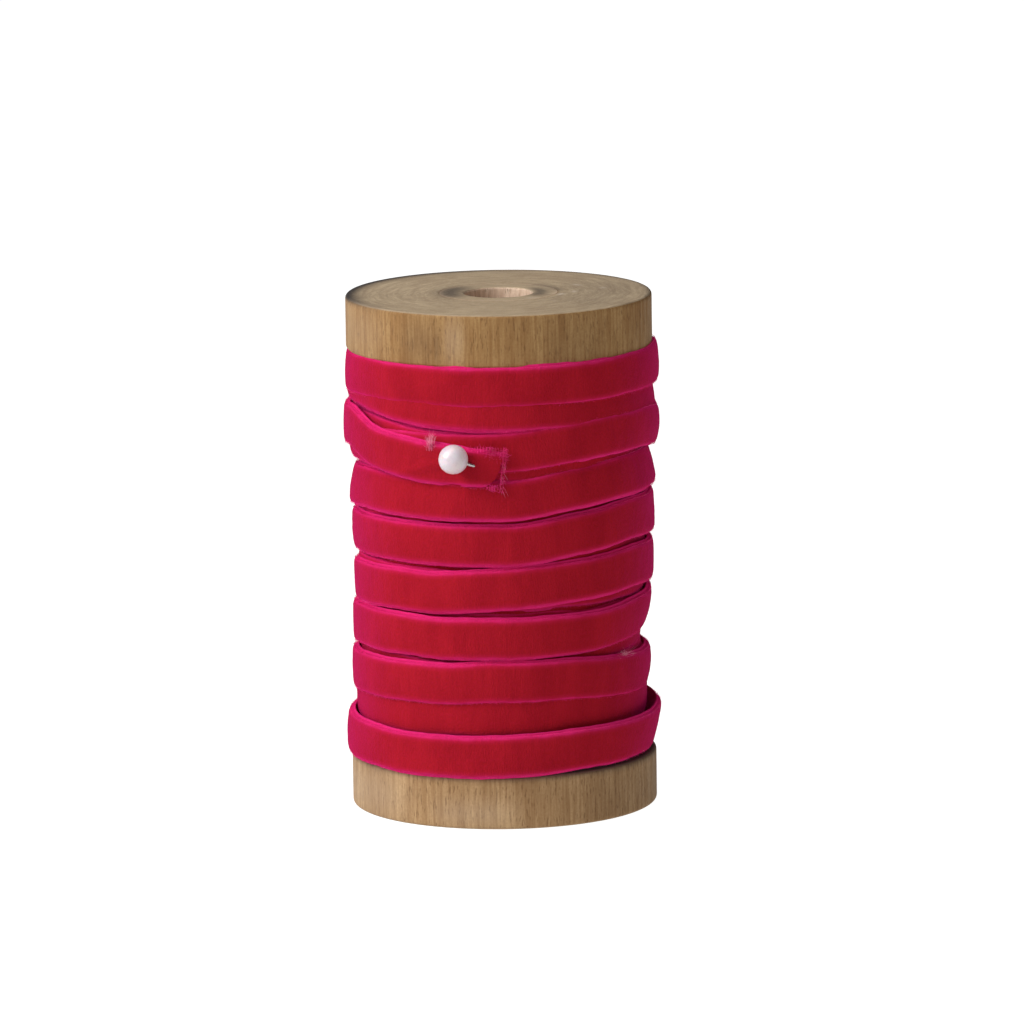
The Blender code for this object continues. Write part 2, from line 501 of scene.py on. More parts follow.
@dataclass(frozen=True)
class WoodFinish:
    """Bare turned wood: brown along the grain and greyer on the sawn ends, with stains, pale chips, painted
    shade and a painted highlight laid on from stored marks.
    """

    name: str
    light: Colour = (0.43, 0.262, 0.110)
    dark: Colour = (0.20, 0.090, 0.030)
    end_light: Colour = (0.53, 0.41, 0.27)
    end_dark: Colour = (0.25, 0.175, 0.115)
    # stain darkens real stains and painted shade alike; pale lightens chips and a painted highlight alike.
    stain_and_painted_shade: Colour = (0.055, 0.047, 0.045)
    pale: Colour = (0.58, 0.47, 0.36)
    pore: Colour = (0.13, 0.06, 0.025)
    shift: tuple[float, float, float] = (0.0, 0.0, 0.0)

    def build(self, grain: bpy.types.NodeTree, variation: bpy.types.NodeTree) -> bpy.types.Material:
        """Makes the material.

        Args:
            grain: The shared wood grain.
            variation: The shared soft variation.

        Returns:
            The material.
        """
        material, graph, shader = material_graph(self.name)
        here = graph.add("ShaderNodeTexCoord").outputs["Object"]
        place = graph.add("ShaderNodeMapping", {"Vector": here, "Location": self.shift}).outputs[0]
        wood = graph.place(grain, {"Place": place})
        soft = graph.place(variation, {"Place": place, "Patch Scale": 95.0, "Speck Scale": 2600.0})
        end, stain_and_painted_shade_share, pale = (graph.attribute(n) for n in ("end_grain", "stain_and_painted_shade", "pale_chip_and_painted_highlight"))
        side = graph.deepen(self.light, (
            (wood["Fibres"], 0.50, self.dark), (wood["Bands"], 0.30, self.dark),
            (soft["Patches"], 0.34, self.dark), (soft["Specks"], 0.22, self.dark),
            (wood["Pores"], 0.52, self.pore),
        ))
        across = graph.deepen(self.end_light, (
            (wood["Turning"], 0.40, self.end_dark), (wood["Rings"], 0.22, self.end_dark),
            (soft["Patches"], 0.30, self.end_dark), (soft["Specks"], 0.16, self.end_dark),
        ))
        # The pale marks add chips and a painted highlight; the stain marks add real stains and painted shade.
        colour = graph.blend(pale, graph.blend(end, side, across), self.pale)
        ridges = graph.math("MULTIPLY", graph.blend_value(end, wood["Fibres"], wood["Turning"]), 0.6)
        graph.fill(shader, {
            "Base Color": graph.blend(stain_and_painted_shade_share, colour, self.stain_and_painted_shade),
            "Roughness": graph.spread(wood["Fibres"], 0.0, 1.0, 0.5, 0.68),
            "Normal": graph.bump(graph.math("SUBTRACT", ridges, wood["Pores"]), 0.45, 0.05 * MM),
            "Specular IOR Level": 0.07,
        })
        return material


@dataclass(frozen=True)
class VelvetFinish:
    """Cut velvet ribbon: a deep crimson pile face between two pink selvedges, with painted sheen along both
    edges and at a glancing angle.
    """

    name: str
    pile: Colour = (0.385, 0.0100, 0.0175)
    pile_deep: Colour = (0.28, 0.0060, 0.0115)
    pile_lit: Colour = (0.50, 0.010, 0.060)
    pile_painted_sheen: Colour = (0.43, 0.009, 0.070)
    # edge is the selvedges' own pinker colour with painted sheen on it; pile_lit is the face's painted sheen
    # near the edges, and its lighter specks.
    edge: Colour = (0.70, 0.022, 0.165)
    back: Colour = (0.40, 0.010, 0.05)
    sheen_tint: Colour = (1.0, 0.02, 0.32)
    sheen: float = 0.55
    sheen_roughness: float = 0.34

    def build(self, variation: bpy.types.NodeTree) -> bpy.types.Material:
        """Makes the material.

        Args:
            variation: The shared soft variation.

        Returns:
            The material.
        """
        material, graph, shader = material_graph(self.name)
        across, along, pile = (graph.attribute(n) for n in ("across", "along", "pile"))
        off_middle = graph.math("MULTIPLY", across, HALF_RIBBON)
        place = graph.add("ShaderNodeCombineXYZ", {0: along, 1: off_middle}).outputs[0]
        stretched = graph.vector("MULTIPLY", place, (1.0, 0.35, 1.0))
        soft = graph.place(variation, {"Place": stretched, "Patch Scale": 210.0, "Speck Scale": 5200.0})
        in_rows = graph.vector("MULTIPLY", place, (1.0, 0.06, 1.0))
        rows = graph.spread(graph.noise(in_rows, 2400.0), 0.3, 0.7)
        wander = graph.math("MULTIPLY", graph.math("SUBTRACT", graph.noise(place, 420.0), 0.5), 0.10)
        upper, lower = graph.math("ADD", across, wander), graph.math("SUBTRACT", wander, across)
        to_edge = graph.math("MAXIMUM", upper, lower)
        # Painted sheen: the face lightens towards pile_lit near both edges, upper and lower alike.
        face = graph.deepen(self.pile, (
            (soft["Patches"], 0.55, self.pile_deep), (rows, 0.30, self.pile_deep),
            (soft["Specks"], 0.16, self.pile_lit), (graph.spread(to_edge, 0.57, 0.92), 0.84, self.pile_lit),
        ))
        # Painted sheen: the base colour turns pinker where the face is seen at a glancing angle.
        painted_sheen_share = graph.add("ShaderNodeLayerWeight", {"Blend": 0.5}).outputs["Facing"]
        face = graph.blend(graph.spread(painted_sheen_share, 0.25, 1.0, 0.0, 0.62), face, self.pile_painted_sheen)
        # Partly the selvedges' own pinker colour, partly painted sheen where the pile turns over at the edges.
        selvedge_and_painted_sheen = graph.blend(graph.spread(to_edge, 0.75, 0.95), face, self.edge)
        height = graph.math("ADD", graph.math("MULTIPLY", rows, 0.5), soft["Specks"])
        graph.fill(shader, {
            "Base Color": graph.blend(pile, self.back, selvedge_and_painted_sheen),
            "Normal": graph.bump(height, 0.6, 0.08 * MM),
            "Roughness": 0.92,
            "Specular IOR Level": 0.03,
            "Sheen Weight": self.sheen,
            "Sheen Roughness": self.sheen_roughness,
            "Sheen Tint": rgba(self.sheen_tint),
        })
        return material


@dataclass(frozen=True)
class FibreFinish:
    """Loose velvet fibres, which catch the light."""

    name: str
    dark: Colour
    light: Colour

    def build(self, variation: bpy.types.NodeTree) -> bpy.types.Material:
        """Makes the material from the shared soft variation.

        Args:
            variation: The shared soft variation.

        Returns:
            The material.
        """
        material, graph, shader, soft = varied_material(self.name, variation, 700.0, 4000.0)
        graph.fill(shader, {
            "Base Color": graph.blend(soft["Patches"], self.dark, self.light),
            "Roughness": 0.6,
            "Sheen Weight": 0.3,
            "Sheen Tint": rgba(self.light),
        })
        return material


@dataclass(frozen=True)
class PearlFinish:
    """Imitation pearl: off-white nacre under a clear coat."""

    name: str
    warm: Colour = (0.73, 0.62, 0.63)
    cool: Colour = (0.69, 0.61, 0.66)

    def build(self, variation: bpy.types.NodeTree) -> bpy.types.Material:
        """Makes the material from the shared soft variation.

        Args:
            variation: The shared soft variation.

        Returns:
            The material.
        """
        material, graph, shader, soft = varied_material(self.name, variation, 420.0, 2200.0)
        graph.fill(shader, {
            "Base Color": graph.blend(soft["Patches"], self.warm, self.cool),
            "Roughness": graph.spread(soft["Specks"], 0.0, 1.0, 0.26, 0.36),
            "Normal": graph.bump(soft["Patches"], 0.15, 0.05 * MM),
            "Subsurface Weight": 0.3,
            "Subsurface Scale": 0.8 * MM,
            "Coat Weight": 0.6,
            "Coat Roughness": 0.12,
            "Sheen Weight": 0.15,
        })
        return material


@dataclass(frozen=True)
class WireFinish:
    """Drawn steel wire, a little duller in patches."""

    name: str
    bright: Colour = (0.62, 0.61, 0.60)
    dull: Colour = (0.4, 0.39, 0.38)

    def build(self, variation: bpy.types.NodeTree) -> bpy.types.Material:
        """Makes the material from the shared soft variation.

        Args:
            variation: The shared soft variation.

        Returns:
            The material.
        """
        material, graph, shader, soft = varied_material(self.name, variation, 900.0, 6000.0)
        graph.fill(shader, {
            "Base Color": graph.deepen(self.bright, ((soft["Patches"], 0.3, self.dull),)),
            "Roughness": graph.spread(soft["Specks"], 0.0, 1.0, 0.2, 0.34),
            "Metallic": 1.0,
        })
        return material


@dataclass
class Finishes:
    """Every finish of the spool, built once."""

    upper_wood: bpy.types.Material
    lower_wood: bpy.types.Material
    core_wood: bpy.types.Material
    velvet: bpy.types.Material
    pile_fibre: bpy.types.Material
    pale_fibre: bpy.types.Material
    pearl: bpy.types.Material
    wire: bpy.types.Material

    @classmethod
    def build(cls) -> "Finishes":
        """Builds the shared groups and the finishes that use them.

        Returns:
            The finishes.
        """
        grain, variation = wood_grain_group(), soft_variation_group()
        lower = WoodFinish(
            "lower_flange_wood", light=(0.52, 0.335, 0.170), dark=(0.23, 0.118, 0.048),
            shift=(0.031, -0.012, 0.02),
        )
        core = WoodFinish(
            "core_wood_finish", light=(0.80, 0.62, 0.47), dark=(0.48, 0.31, 0.21),
            shift=(0.013, 0.027, 0.008),
        )
        pile_fibre = FibreFinish("pile_fibre_finish", (0.62, 0.008, 0.09), (0.92, 0.03, 0.28))
        pale_fibre = FibreFinish("pale_fibre_finish", (0.78, 0.12, 0.26), (0.92, 0.38, 0.52))
        return cls(
            upper_wood=WoodFinish("upper_flange_wood").build(grain, variation),
            lower_wood=lower.build(grain, variation),
            core_wood=core.build(grain, variation),
            velvet=VelvetFinish("velvet_finish").build(variation),
            pile_fibre=pile_fibre.build(variation),
            pale_fibre=pale_fibre.build(variation),
            pearl=PearlFinish("pearl_finish").build(variation),
            wire=WireFinish("pin_wire_finish").build(variation),
        )


# ------------------------------------------------------------------ turned wood


def turned_wood_tree() -> bpy.types.NodeTree:
    """The tree that turns an outline about Z and gives the wood its small unevenness.

    Returns:
        The tree. Its geometry input is the outline, a closed curve of radius and height.
    """
    graph, start = new_group(
        "turned_wood", "GeometryNodeTree",
        [
            Port("Geometry", SocketKind.GEOMETRY),
            Port("Sides", SocketKind.WHOLE, 256),
            Port("Turning Radius", SocketKind.VALUE, 0.01),
            Port("Unevenness", SocketKind.VALUE, 0.00004),
            Port("End Relief", SocketKind.VALUE, 0.00004),
            Port("Ring Spacing", SocketKind.VALUE, 0.0019),
            Port("Seed", SocketKind.VALUE, 0.0),
            Port("Material", SocketKind.MATERIAL),
        ],
        [Port("Geometry", SocketKind.GEOMETRY)],
    )
    circle = graph.add(
        "GeometryNodeCurvePrimitiveCircle",
        {"Resolution": start["Sides"], "Radius": start["Turning Radius"]},
    ).outputs["Curve"]
    upright = graph.add("GeometryNodeSetCurveNormal", {"Curve": circle}, mode="Z_UP").outputs[0]
    swept = graph.add("GeometryNodeCurveToMesh", {"Curve": upright, "Profile Curve": start["Geometry"]})
    place = graph.add("GeometryNodeInputPosition").outputs[0]
    normal = graph.add("GeometryNodeInputNormal").outputs[0]
    ends = graph.math("ABSOLUTE", graph.add("ShaderNodeSeparateXYZ", {0: normal}).outputs["Z"])
    marked = graph.add(
        "GeometryNodeStoreNamedAttribute",
        {"Geometry": swept.outputs[0], "Name": "end_grain", "Value": graph.spread(ends, 0.55, 0.85)},
        data_type="FLOAT", domain="POINT",
    )
    broad, fine = (
        graph.add(
            "ShaderNodeTexNoise", {"Vector": place, "W": start["Seed"], "Scale": scale, "Detail": detail},
            noise_dimensions="4D",
        ).outputs[0]
        for scale, detail in ((160.0, 3.0), (900.0, 2.0))
    )
    flat = graph.vector("MULTIPLY", place, (1.0, 1.0, 0.0))
    radius = graph.distance(flat)
    count = graph.math("DIVIDE", radius, start["Ring Spacing"])
    rings = graph.math("SINE", graph.math("MULTIPLY", count, 2 * math.pi))
    uneven = graph.math("MULTIPLY", graph.math("SUBTRACT", broad, 0.5), start["Unevenness"])
    relief = graph.math("MULTIPLY", graph.math("ADD", rings, graph.math("MULTIPLY", fine, 2.5)), 0.25)
    relief = graph.math("MULTIPLY", graph.math("MULTIPLY", relief, ends), start["End Relief"])
    shift = graph.scaled(normal, graph.math("ADD", uneven, relief))
    moved = graph.add("GeometryNodeSetPosition", {"Geometry": marked.outputs[0], "Offset": shift})
    graph.dressed(moved.outputs[0], start["Material"])
    return graph.tree


def eased(radius: float, height: float, outward: int, upward: int, easing: float, steps: int = 6) -> list:
    """Points of a rounded corner of a turned outline, from its end face round to its wall.

    Args:
        radius: The corner's radius before easing.
        height: The corner's height before easing.
        outward: 1 if the wood is inside the corner's wall, -1 if outside.
        upward: 1 at an upper face, -1 at a lower one.
        easing: The rounding's radius.
        steps: The number of points.

    Returns:
        (radius, height) points.
    """
    points = []
    for step in range(steps):
        turn = math.pi / 2 * (1 - step / (steps - 1))
        points.append((
            radius - outward * easing * (1 - math.cos(turn)),
            height - upward * easing * (1 - math.sin(turn)),
        ))
    return points


def filled_in(outline: list, step: float) -> list:
    """A closed outline with points added wherever they are further apart than step.

    Args:
        outline: (radius, height) points, once round.
        step: The widest gap allowed.

    Returns:
        The outline with more points.
    """
    points = []
    for (r0, z0), (r1, z1) in zip(outline, outline[1:] + outline[:1]):
        pieces = max(1, math.ceil(math.hypot(r1 - r0, z1 - z0) / step))
        points += [(r0 + (r1 - r0) * i / pieces, z0 + (z1 - z0) * i / pieces) for i in range(pieces)]
    return points


@dataclass
class TurnedPiece:
    """One turned wooden piece that stands for its CAD node."""

    name: str
    node: str
    outline: list
    turning_radius: float
    seed: float
    step: float = 0.45 * MM
    sides: int = 288

    def build(self, tree: bpy.types.NodeTree, material: bpy.types.Material) -> bpy.types.Object:
        """Turns the outline with the shared tree.

        Args:
            tree: The turned wood tree.
            material: The wood.

        Returns:
            The piece.
        """
        curve = bpy.data.curves.new(self.name + "_outline", "CURVE")
        curve.dimensions = "3D"
        spline = curve.splines.new("POLY")
        points = filled_in(self.outline, self.step)
        spline.points.add(len(points) - 1)
        for point, (radius, height) in zip(spline.points, points):
            point.co = (radius - self.turning_radius, -height, 0.0, 1.0)
        spline.use_cyclic_u = True
        host = bpy.data.objects.new(self.name + "_outline", curve)
        bpy.context.scene.collection.objects.link(host)
        values = {
            "Sides": self.sides, "Turning Radius": self.turning_radius, "Seed": self.seed,
            "Material": material,
        }
        obj = run_tree(host, tree, self.name, values)
        face_outwards(obj, 50.0)
        return obj


@dataclass(frozen=True)
class WoodMark:
    """A soft mark on the wood.

    middle is its radius and height in mm and its bearing in degrees, in the order radius, bearing, height.
    reach is its half widths the same three ways.
    """

    middle: tuple[float, float, float]
    reach: tuple[float, float, float]
    strength: float

    def share(self, radius: np.ndarray, bearing: np.ndarray, height: np.ndarray) -> np.ndarray:
        """How strong the mark is at places given in mm and degrees."""
        turned = (bearing - self.middle[1] + 180) % 360 - 180
        off = ((radius - self.middle[0]) / self.reach[0]) ** 2 + (turned / self.reach[1]) ** 4
        return self.strength * np.exp(-off - ((height - self.middle[2]) / self.reach[2]) ** 2)


STAINS_AND_PAINTED_SHADE = (
    WoodMark((25.4, -125, 84.3), (2.3, 62, 0.5), 1.4),
    WoodMark((25.3, 178, 84.3), (1.4, 80, 0.5), 1.1),
    WoodMark((25.2, 112, 84.3), (1.1, 40, 0.5), 0.8),
    WoodMark((8.0, -96, 84.3), (2.2, 44, 0.5), 0.75),
    WoodMark((6.9, 92, 84.3), (1.3, 38, 0.5), 0.7),
    WoodMark((9.8, 118, 84.3), (1.0, 28, 0.5), 0.5),
    WoodMark((11.0, 60, 84.3), (0.5, 14, 0.5), 0.28),
    # Painted shade: the top face darkened broadly towards its right.
    WoodMark((18.0, 84, 84.3), (8.0, 48, 0.5), 0.20),
    WoodMark((25.0, -31, 79.8), (0.6, 8, 4.5), 0.20),
    WoodMark((25.0, -23.5, 79.0), (0.6, 1.2, 3.5), 0.28),
    WoodMark((25.0, 30, 78.0), (0.6, 14, 5.0), 0.10),
    # Painted shade: the lower flange's top face darkened all round under the ribbon, and its rim and side
    # darkened towards the right, away from the key light.
    WoodMark((22.8, 0, 8.7), (3.0, 220, 0.7), 1.1),
    WoodMark((25.0, 62, 8.6), (0.6, 34, 1.0), 0.55),
    WoodMark((25.0, 66, 4.0), (0.6, 36, 6.0), 0.16),
)
PALE_CHIPS_AND_PAINTED_HIGHLIGHT = (
    WoodMark((10.6, 74, 84.3), (0.5, 6.0, 0.5), 1.0),
    WoodMark((14.6, 118, 84.3), (0.45, 4.0, 0.5), 0.9),
    WoodMark((12.4, 88, 84.3), (0.40, 5.0, 0.5), 0.9),
    WoodMark((17.4, 101, 84.3), (0.45, 3.0, 0.5), 0.7),
    WoodMark((8.4, 40, 84.3), (0.5, 8.0, 0.5), 0.6),
    WoodMark((13.0, 44, 84.3), (0.35, 3.0, 0.5), 0.35),
    # Painted highlight, at bearings -72 and -66: both flanges' sides lightened broadly on the left, towards the
    # key light.
    WoodMark((25.0, -72, 80.0), (0.6, 24, 5.0), 0.12),
    WoodMark((25.0, -17, 80.0), (0.6, 4, 4.0), 0.16),
    WoodMark((25.0, -66, 4.0), (0.6, 26, 5.0), 0.20),
    WoodMark((25.0, -12, 2.5), (0.6, 16, 2.5), 0.16),
)


@dataclass
class WoodenSpool:
    """The two flanges and the bored core between them."""

    sizes: SpoolFrame
    rim_easing: float = 0.55 * MM
    mouth_easing: float = 0.45 * MM
    seat_gap: float = 0.3 * MM
    joint_gap: float = 0.02 * MM

    def build(self, finishes: Finishes) -> list[bpy.types.Object]:
        """Builds and dresses the wooden pieces.

        Args:
            finishes: The spool's finishes.

        Returns:
            The pieces.
        """
        tree = turned_wood_tree()
        made = []
        for name, node, foot, seed, wood in (
            ("lower_flange_turned", "bottom_flange", 0.0, 1.7, finishes.lower_wood),
            ("upper_flange_turned", "top_flange", self.sizes.upper_flange_foot, 5.2, finishes.upper_wood),
        ):
            piece = TurnedPiece(name, node, self._flange_outline(foot), self.sizes.mortise_radius, seed)
            made.append(self._finish(piece, tree, wood))
        core = TurnedPiece(
            "core_wood", "spool_core", self._core_outline(), self.sizes.bore_radius, 9.1,
            step=0.8 * MM, sides=192,
        )
        made.append(self._finish(core, tree, finishes.core_wood))
        return made

    def _finish(
        self, piece: TurnedPiece, tree: bpy.types.NodeTree, material: bpy.types.Material
    ) -> bpy.types.Object:
        """Builds one piece, marks its stains and wear with its painted shade and painted highlight, and puts it
        in its CAD node's place.

        Args:
            piece: The piece.
            tree: The turned wood tree.
            material: The wood.

        Returns:
            The piece.
        """
        obj = piece.build(tree, material)
        self._mark(obj)
        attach(obj, "spool")
        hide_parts(piece.node)
        LOG.info("%s: %d faces", obj.name, len(obj.data.polygons))
        return obj

    def _flange_outline(self, foot: float) -> list:
        """A flange's outline as (radius, height) points.

        Args:
            foot: The height of its lower face.

        Returns:
            The points, once round.
        """
        sizes = self.sizes
        top = foot + sizes.flange_thickness
        return [
            (sizes.mortise_radius, foot),
            *eased(sizes.flange_radius, foot, 1, -1, self.rim_easing),
            *reversed(eased(sizes.flange_radius, top, 1, 1, self.rim_easing)),
            (sizes.mortise_radius, top),
        ]

    def _core_outline(self) -> list:
        """The core's outline: a barrel with a tenon at each end and eased bore mouths.

        Returns:
            (radius, height) points, once round.
        """
        sizes = self.sizes
        low, high = sizes.flange_thickness + self.seat_gap, sizes.upper_flange_foot - self.seat_gap
        tenon = sizes.mortise_radius - self.joint_gap
        return [
            *reversed(eased(sizes.bore_radius, 0.0, -1, -1, self.mouth_easing)),
            (tenon, 0.0),
            (tenon, low),
            (sizes.core_radius, low),
            (sizes.core_radius, high),
            (tenon, high),
            (tenon, sizes.height),
            *eased(sizes.bore_radius, sizes.height, -1, 1, self.mouth_easing),
        ]

    def _mark(self, obj: bpy.types.Object) -> None:
        """Stores where the wood is darkened, by stains and by painted shade, and where it is made pale, by
        chips and by a painted highlight.

        Args:
            obj: A wooden piece, in place.
        """
        points = np.array([v.co for v in obj.data.vertices])
        radius = np.hypot(points[:, 0], points[:, 1]) / MM
        bearing = np.degrees(np.arctan2(points[:, 0], -points[:, 1]))
        for name, marks in (("stain_and_painted_shade", STAINS_AND_PAINTED_SHADE), ("pale_chip_and_painted_highlight", PALE_CHIPS_AND_PAINTED_HIGHLIGHT)):
            share = np.zeros(len(points))
            for mark in marks:
                share = np.maximum(share, mark.share(radius, bearing, points[:, 2] / MM))
            store_values(obj, name, np.clip(share, 0, 1))


# ------------------------------------------------------------------ the wound ribbon


VISIBLE_BEARINGS = (-90.0, -60.0, -30.0, 0.0, 30.0, 60.0, 90.0)
SIDE_BEARINGS = (-90.0, 0.0, 90.0)


@dataclass(frozen=True)
class Turn:
    """One turn of ribbon where it crosses the front half of the spool, in millimetres and degrees.

    heights are its middle's at VISIBLE_BEARINGS. radii are its pile face's at the left, the front and the
    right; leans tip its upper edge outwards there, and cups sink its two edges.
    """

    heights: tuple[float, ...]
    radii: tuple[float, float, float]
    leans: tuple[float, float, float] = (0.0, 0.0, 0.0)
    cups: tuple[float, float, float] = (0.25, 0.2, 0.3)

    @classmethod
    def level(cls, left: float, right: float, radius: float) -> "Turn":
        """A hidden turn that runs straight from its left height to its right one."""
        heights = tuple(left + (right - left) * (b + 90) / 180 for b in VISIBLE_BEARINGS)
        return cls(heights, (radius,) * 3)


INNER_TURNS = [
    Turn.level(left, right, 22.7)
    for left, right in (
        (12.5, 12.5), (16.4, 24.3), (26.2, 30.4), (34.0, 37.8), (41.4, 45.2),
        (48.8, 52.6), (56.2, 59.8), (63.4, 67.0), (70.6, 71.6),
    )
]
MIDDLE_TURNS = [
    Turn((72.3, 72.6, 72.6, 72.55, 72.7, 73.0, 73.0), (25.2, 25.6, 26.0), (-2, 4, -3), (0.3, 0.15, 0.35)),
    Turn((71.4, 70.6, 69.3, 68.7, 68.8, 68.3, 67.4), (24.9, 25.3, 25.3), (-3, -8, -8), (0.3, 0.1, 0.3)),
    Turn((63.6, 63.2, 62.0, 60.4, 59.3, 59.2, 59.1), (24.2, 24.95, 23.5)),
    Turn.level(53.0, 52.2, 23.5),
    Turn.level(46.2, 45.6, 23.5),
    Turn.level(39.2, 38.8, 23.5),
    Turn.level(32.0, 32.0, 23.0),
    Turn.level(25.0, 22.2, 23.3),
    Turn((18.0, 18.1, 18.2, 18.3, 18.3, 18.1, 17.8), (24.1, 24.1, 23.5)),
]
OUTER_TURNS = [
    Turn((12.4, 12.1, 11.85, 12.1, 12.5, 12.6, 12.9), (25.75, 25.85, 25.4), (-3, 0, 13), (0.25, 0.1, 0.2)),
    Turn((22.8, 23.25, 23.5, 24.1, 23.8, 22.9, 22.3), (24.8, 24.6, 24.15), (0, 0, 5), (0.2, 0.15, 0.55)),
    Turn((30.6, 31.1, 31.15, 31.2, 31.25, 31.9, 32.3), (24.5, 24.6, 24.2), (0, 2, 13), (0.15, 0.15, 0.45)),
    Turn((37.6, 38.35, 38.6, 39.35, 40.1, 40.75, 40.3), (24.3, 24.6, 24.9), (0, 0, 0), (0.1, 0.15, 0.15)),
    Turn((45.8, 46.35, 46.55, 46.5, 47.75, 48.7, 48.4), (24.4, 24.7, 25.1), (2, 0, -1), (0.3, 0.15, 0.15)),
    Turn((53.4, 54.3, 54.1, 54.1, 55.5, 56.2, 56.2), (24.6, 25.25, 24.9), (-8, 0, -13), (0.3, 0.15, 0.3)),
    Turn((61.6, 61.5, 61.6, 61.9, 63.1, 63.6, 62.6), (24.7, 25.35, 26.05), (0, 1, 4), (0.2, 0.15, 0.55)),
]
TAIL_KNOTS = (  # bearing, height, radius of the pile face, lean
    (-90.0, 63.5, 25.6, 0.0),
    (-74.0, 63.8, 25.65, 0.0),
    (-64.0, 62.8, 25.7, 0.0),
    (-56.0, 61.7, 25.75, 1.0),
    (-47.0, 61.0, 25.85, 2.0),
    (-38.0, 60.6, 26.0, 3.0),
    (-28.0, 60.1, 26.1, 4.0),
    (-21.0, 60.0, 26.05, 4.0),
    (-15.6, 59.9, 26.0, 3.0),
    (-10.5, 59.8, 26.65, 1.0),
    (-6.0, 59.7, 26.6, 0.0),
    (1.2, 59.3, 26.45, 0.0),
)

LINTED_TURN = len(INNER_TURNS) + len(MIDDLE_TURNS) + 1
LINT_BEARING = 56.0
LINT_FIBRES = 90
PALE_TUFT_BACK = 12.6  # mm from the cut end
PALE_TUFT_FIBRES = 230
HANGING_FIBRES = 12


def smooth_curve(knots_at: np.ndarray, values: np.ndarray, at: np.ndarray) -> np.ndarray:
    """A smooth curve through knots that never swings past them.

    Args:
        knots_at: Where the knots are, in rising order.
        values: The knots' values.
        at: Where to read the curve.

    Returns:
        The curve's values.
    """
    gaps, rises = np.diff(knots_at), np.diff(values)
    slopes = rises / gaps
    tangents = np.zeros(len(values))
    for i in range(1, len(values) - 1):
        before, after = slopes[i - 1], slopes[i]
        if before * after > 0:
            w0, w1 = 2 * gaps[i] + gaps[i - 1], gaps[i] + 2 * gaps[i - 1]
            tangents[i] = (w0 + w1) / (w0 / before + w1 / after)
    tangents[0], tangents[-1] = slopes[0], slopes[-1]
    i = np.clip(np.searchsorted(knots_at, at) - 1, 0, len(gaps) - 1)
    t = np.clip((at - knots_at[i]) / gaps[i], 0, 1)
    h00, h10 = 2 * t**3 - 3 * t**2 + 1, t**3 - 2 * t**2 + t
    h01, h11 = 3 * t**2 - 2 * t**3, t**3 - t**2
    leaving = h00 * values[i] + h10 * gaps[i] * tangents[i]
    return leaving + h01 * values[i + 1] + h11 * gaps[i] * tangents[i + 1]


def wobble(along: np.ndarray, seed: int, wavelength: float, size: float) -> np.ndarray:
    """A slow random sway along the ribbon.

    Args:
        along: Distances along it, in metres.
        seed: Which sway.
        wavelength: Its usual length, in metres.
        size: Its usual size.

    Returns:
        The sway at each distance.
    """
    random = np.random.default_rng(seed)
    total = np.zeros(len(along))
    for _ in range(5):
        length = wavelength * random.uniform(0.55, 1.9)
        total += np.sin(2 * math.pi * (along / length + random.random())) * random.uniform(0.4, 1.0)
    return total * size / 1.6


@dataclass
class RibbonRoute:
    """The whole ribbon's path, wound left to right across the front: out from the core in three layers."""

    knots: dict[str, np.ndarray]
    ends: dict[str, tuple[float, float]]

    @classmethod
    def wind(cls) -> "RibbonRoute":
        """Lays the turns end to end.

        Returns:
            The route, with the bearings at which each run starts and ends.
        """
        heights, radii, leans, cups, ends = [], [], [], [], {}
        count = 0
        for name, turns in (("inner", INNER_TURNS), ("middle", MIDDLE_TURNS), ("outer", OUTER_TURNS)):
            ends[name] = (360.0 * count - 180.0, 360.0 * (count + len(turns)) - 180.0)
            for turn in turns:
                heights += [(360.0 * count + b, z) for b, z in zip(VISIBLE_BEARINGS, turn.heights)]
                radii += [(360.0 * count + b, r) for b, r in zip(SIDE_BEARINGS, turn.radii)]
                leans += [(360.0 * count + b, a) for b, a in zip(SIDE_BEARINGS, turn.leans)]
                cups += [(360.0 * count + b, c) for b, c in zip(SIDE_BEARINGS, turn.cups)]
                count += 1
        for bearing, height, radius, lean in TAIL_KNOTS:
            heights.append((360.0 * count + bearing, height))
            radii.append((360.0 * count + bearing, radius))
            leans.append((360.0 * count + bearing, lean))
            cups.append((360.0 * count + bearing, 0.15))
        ends["inner"] = (-150.0, ends["inner"][1])
        ends["outer"] = (ends["outer"][0], heights[-1][0])
        knots = {"height": heights, "radius": radii, "lean": leans, "cup": cups}
        return cls({name: np.array(pairs) for name, pairs in knots.items()}, ends)

    def read(self, name: str, bearings: np.ndarray) -> np.ndarray:
        """A value of the route, such as its height, at bearings counted from the first turn."""
        pairs = self.knots[name]
        return smooth_curve(pairs[:, 0], pairs[:, 1], bearings)


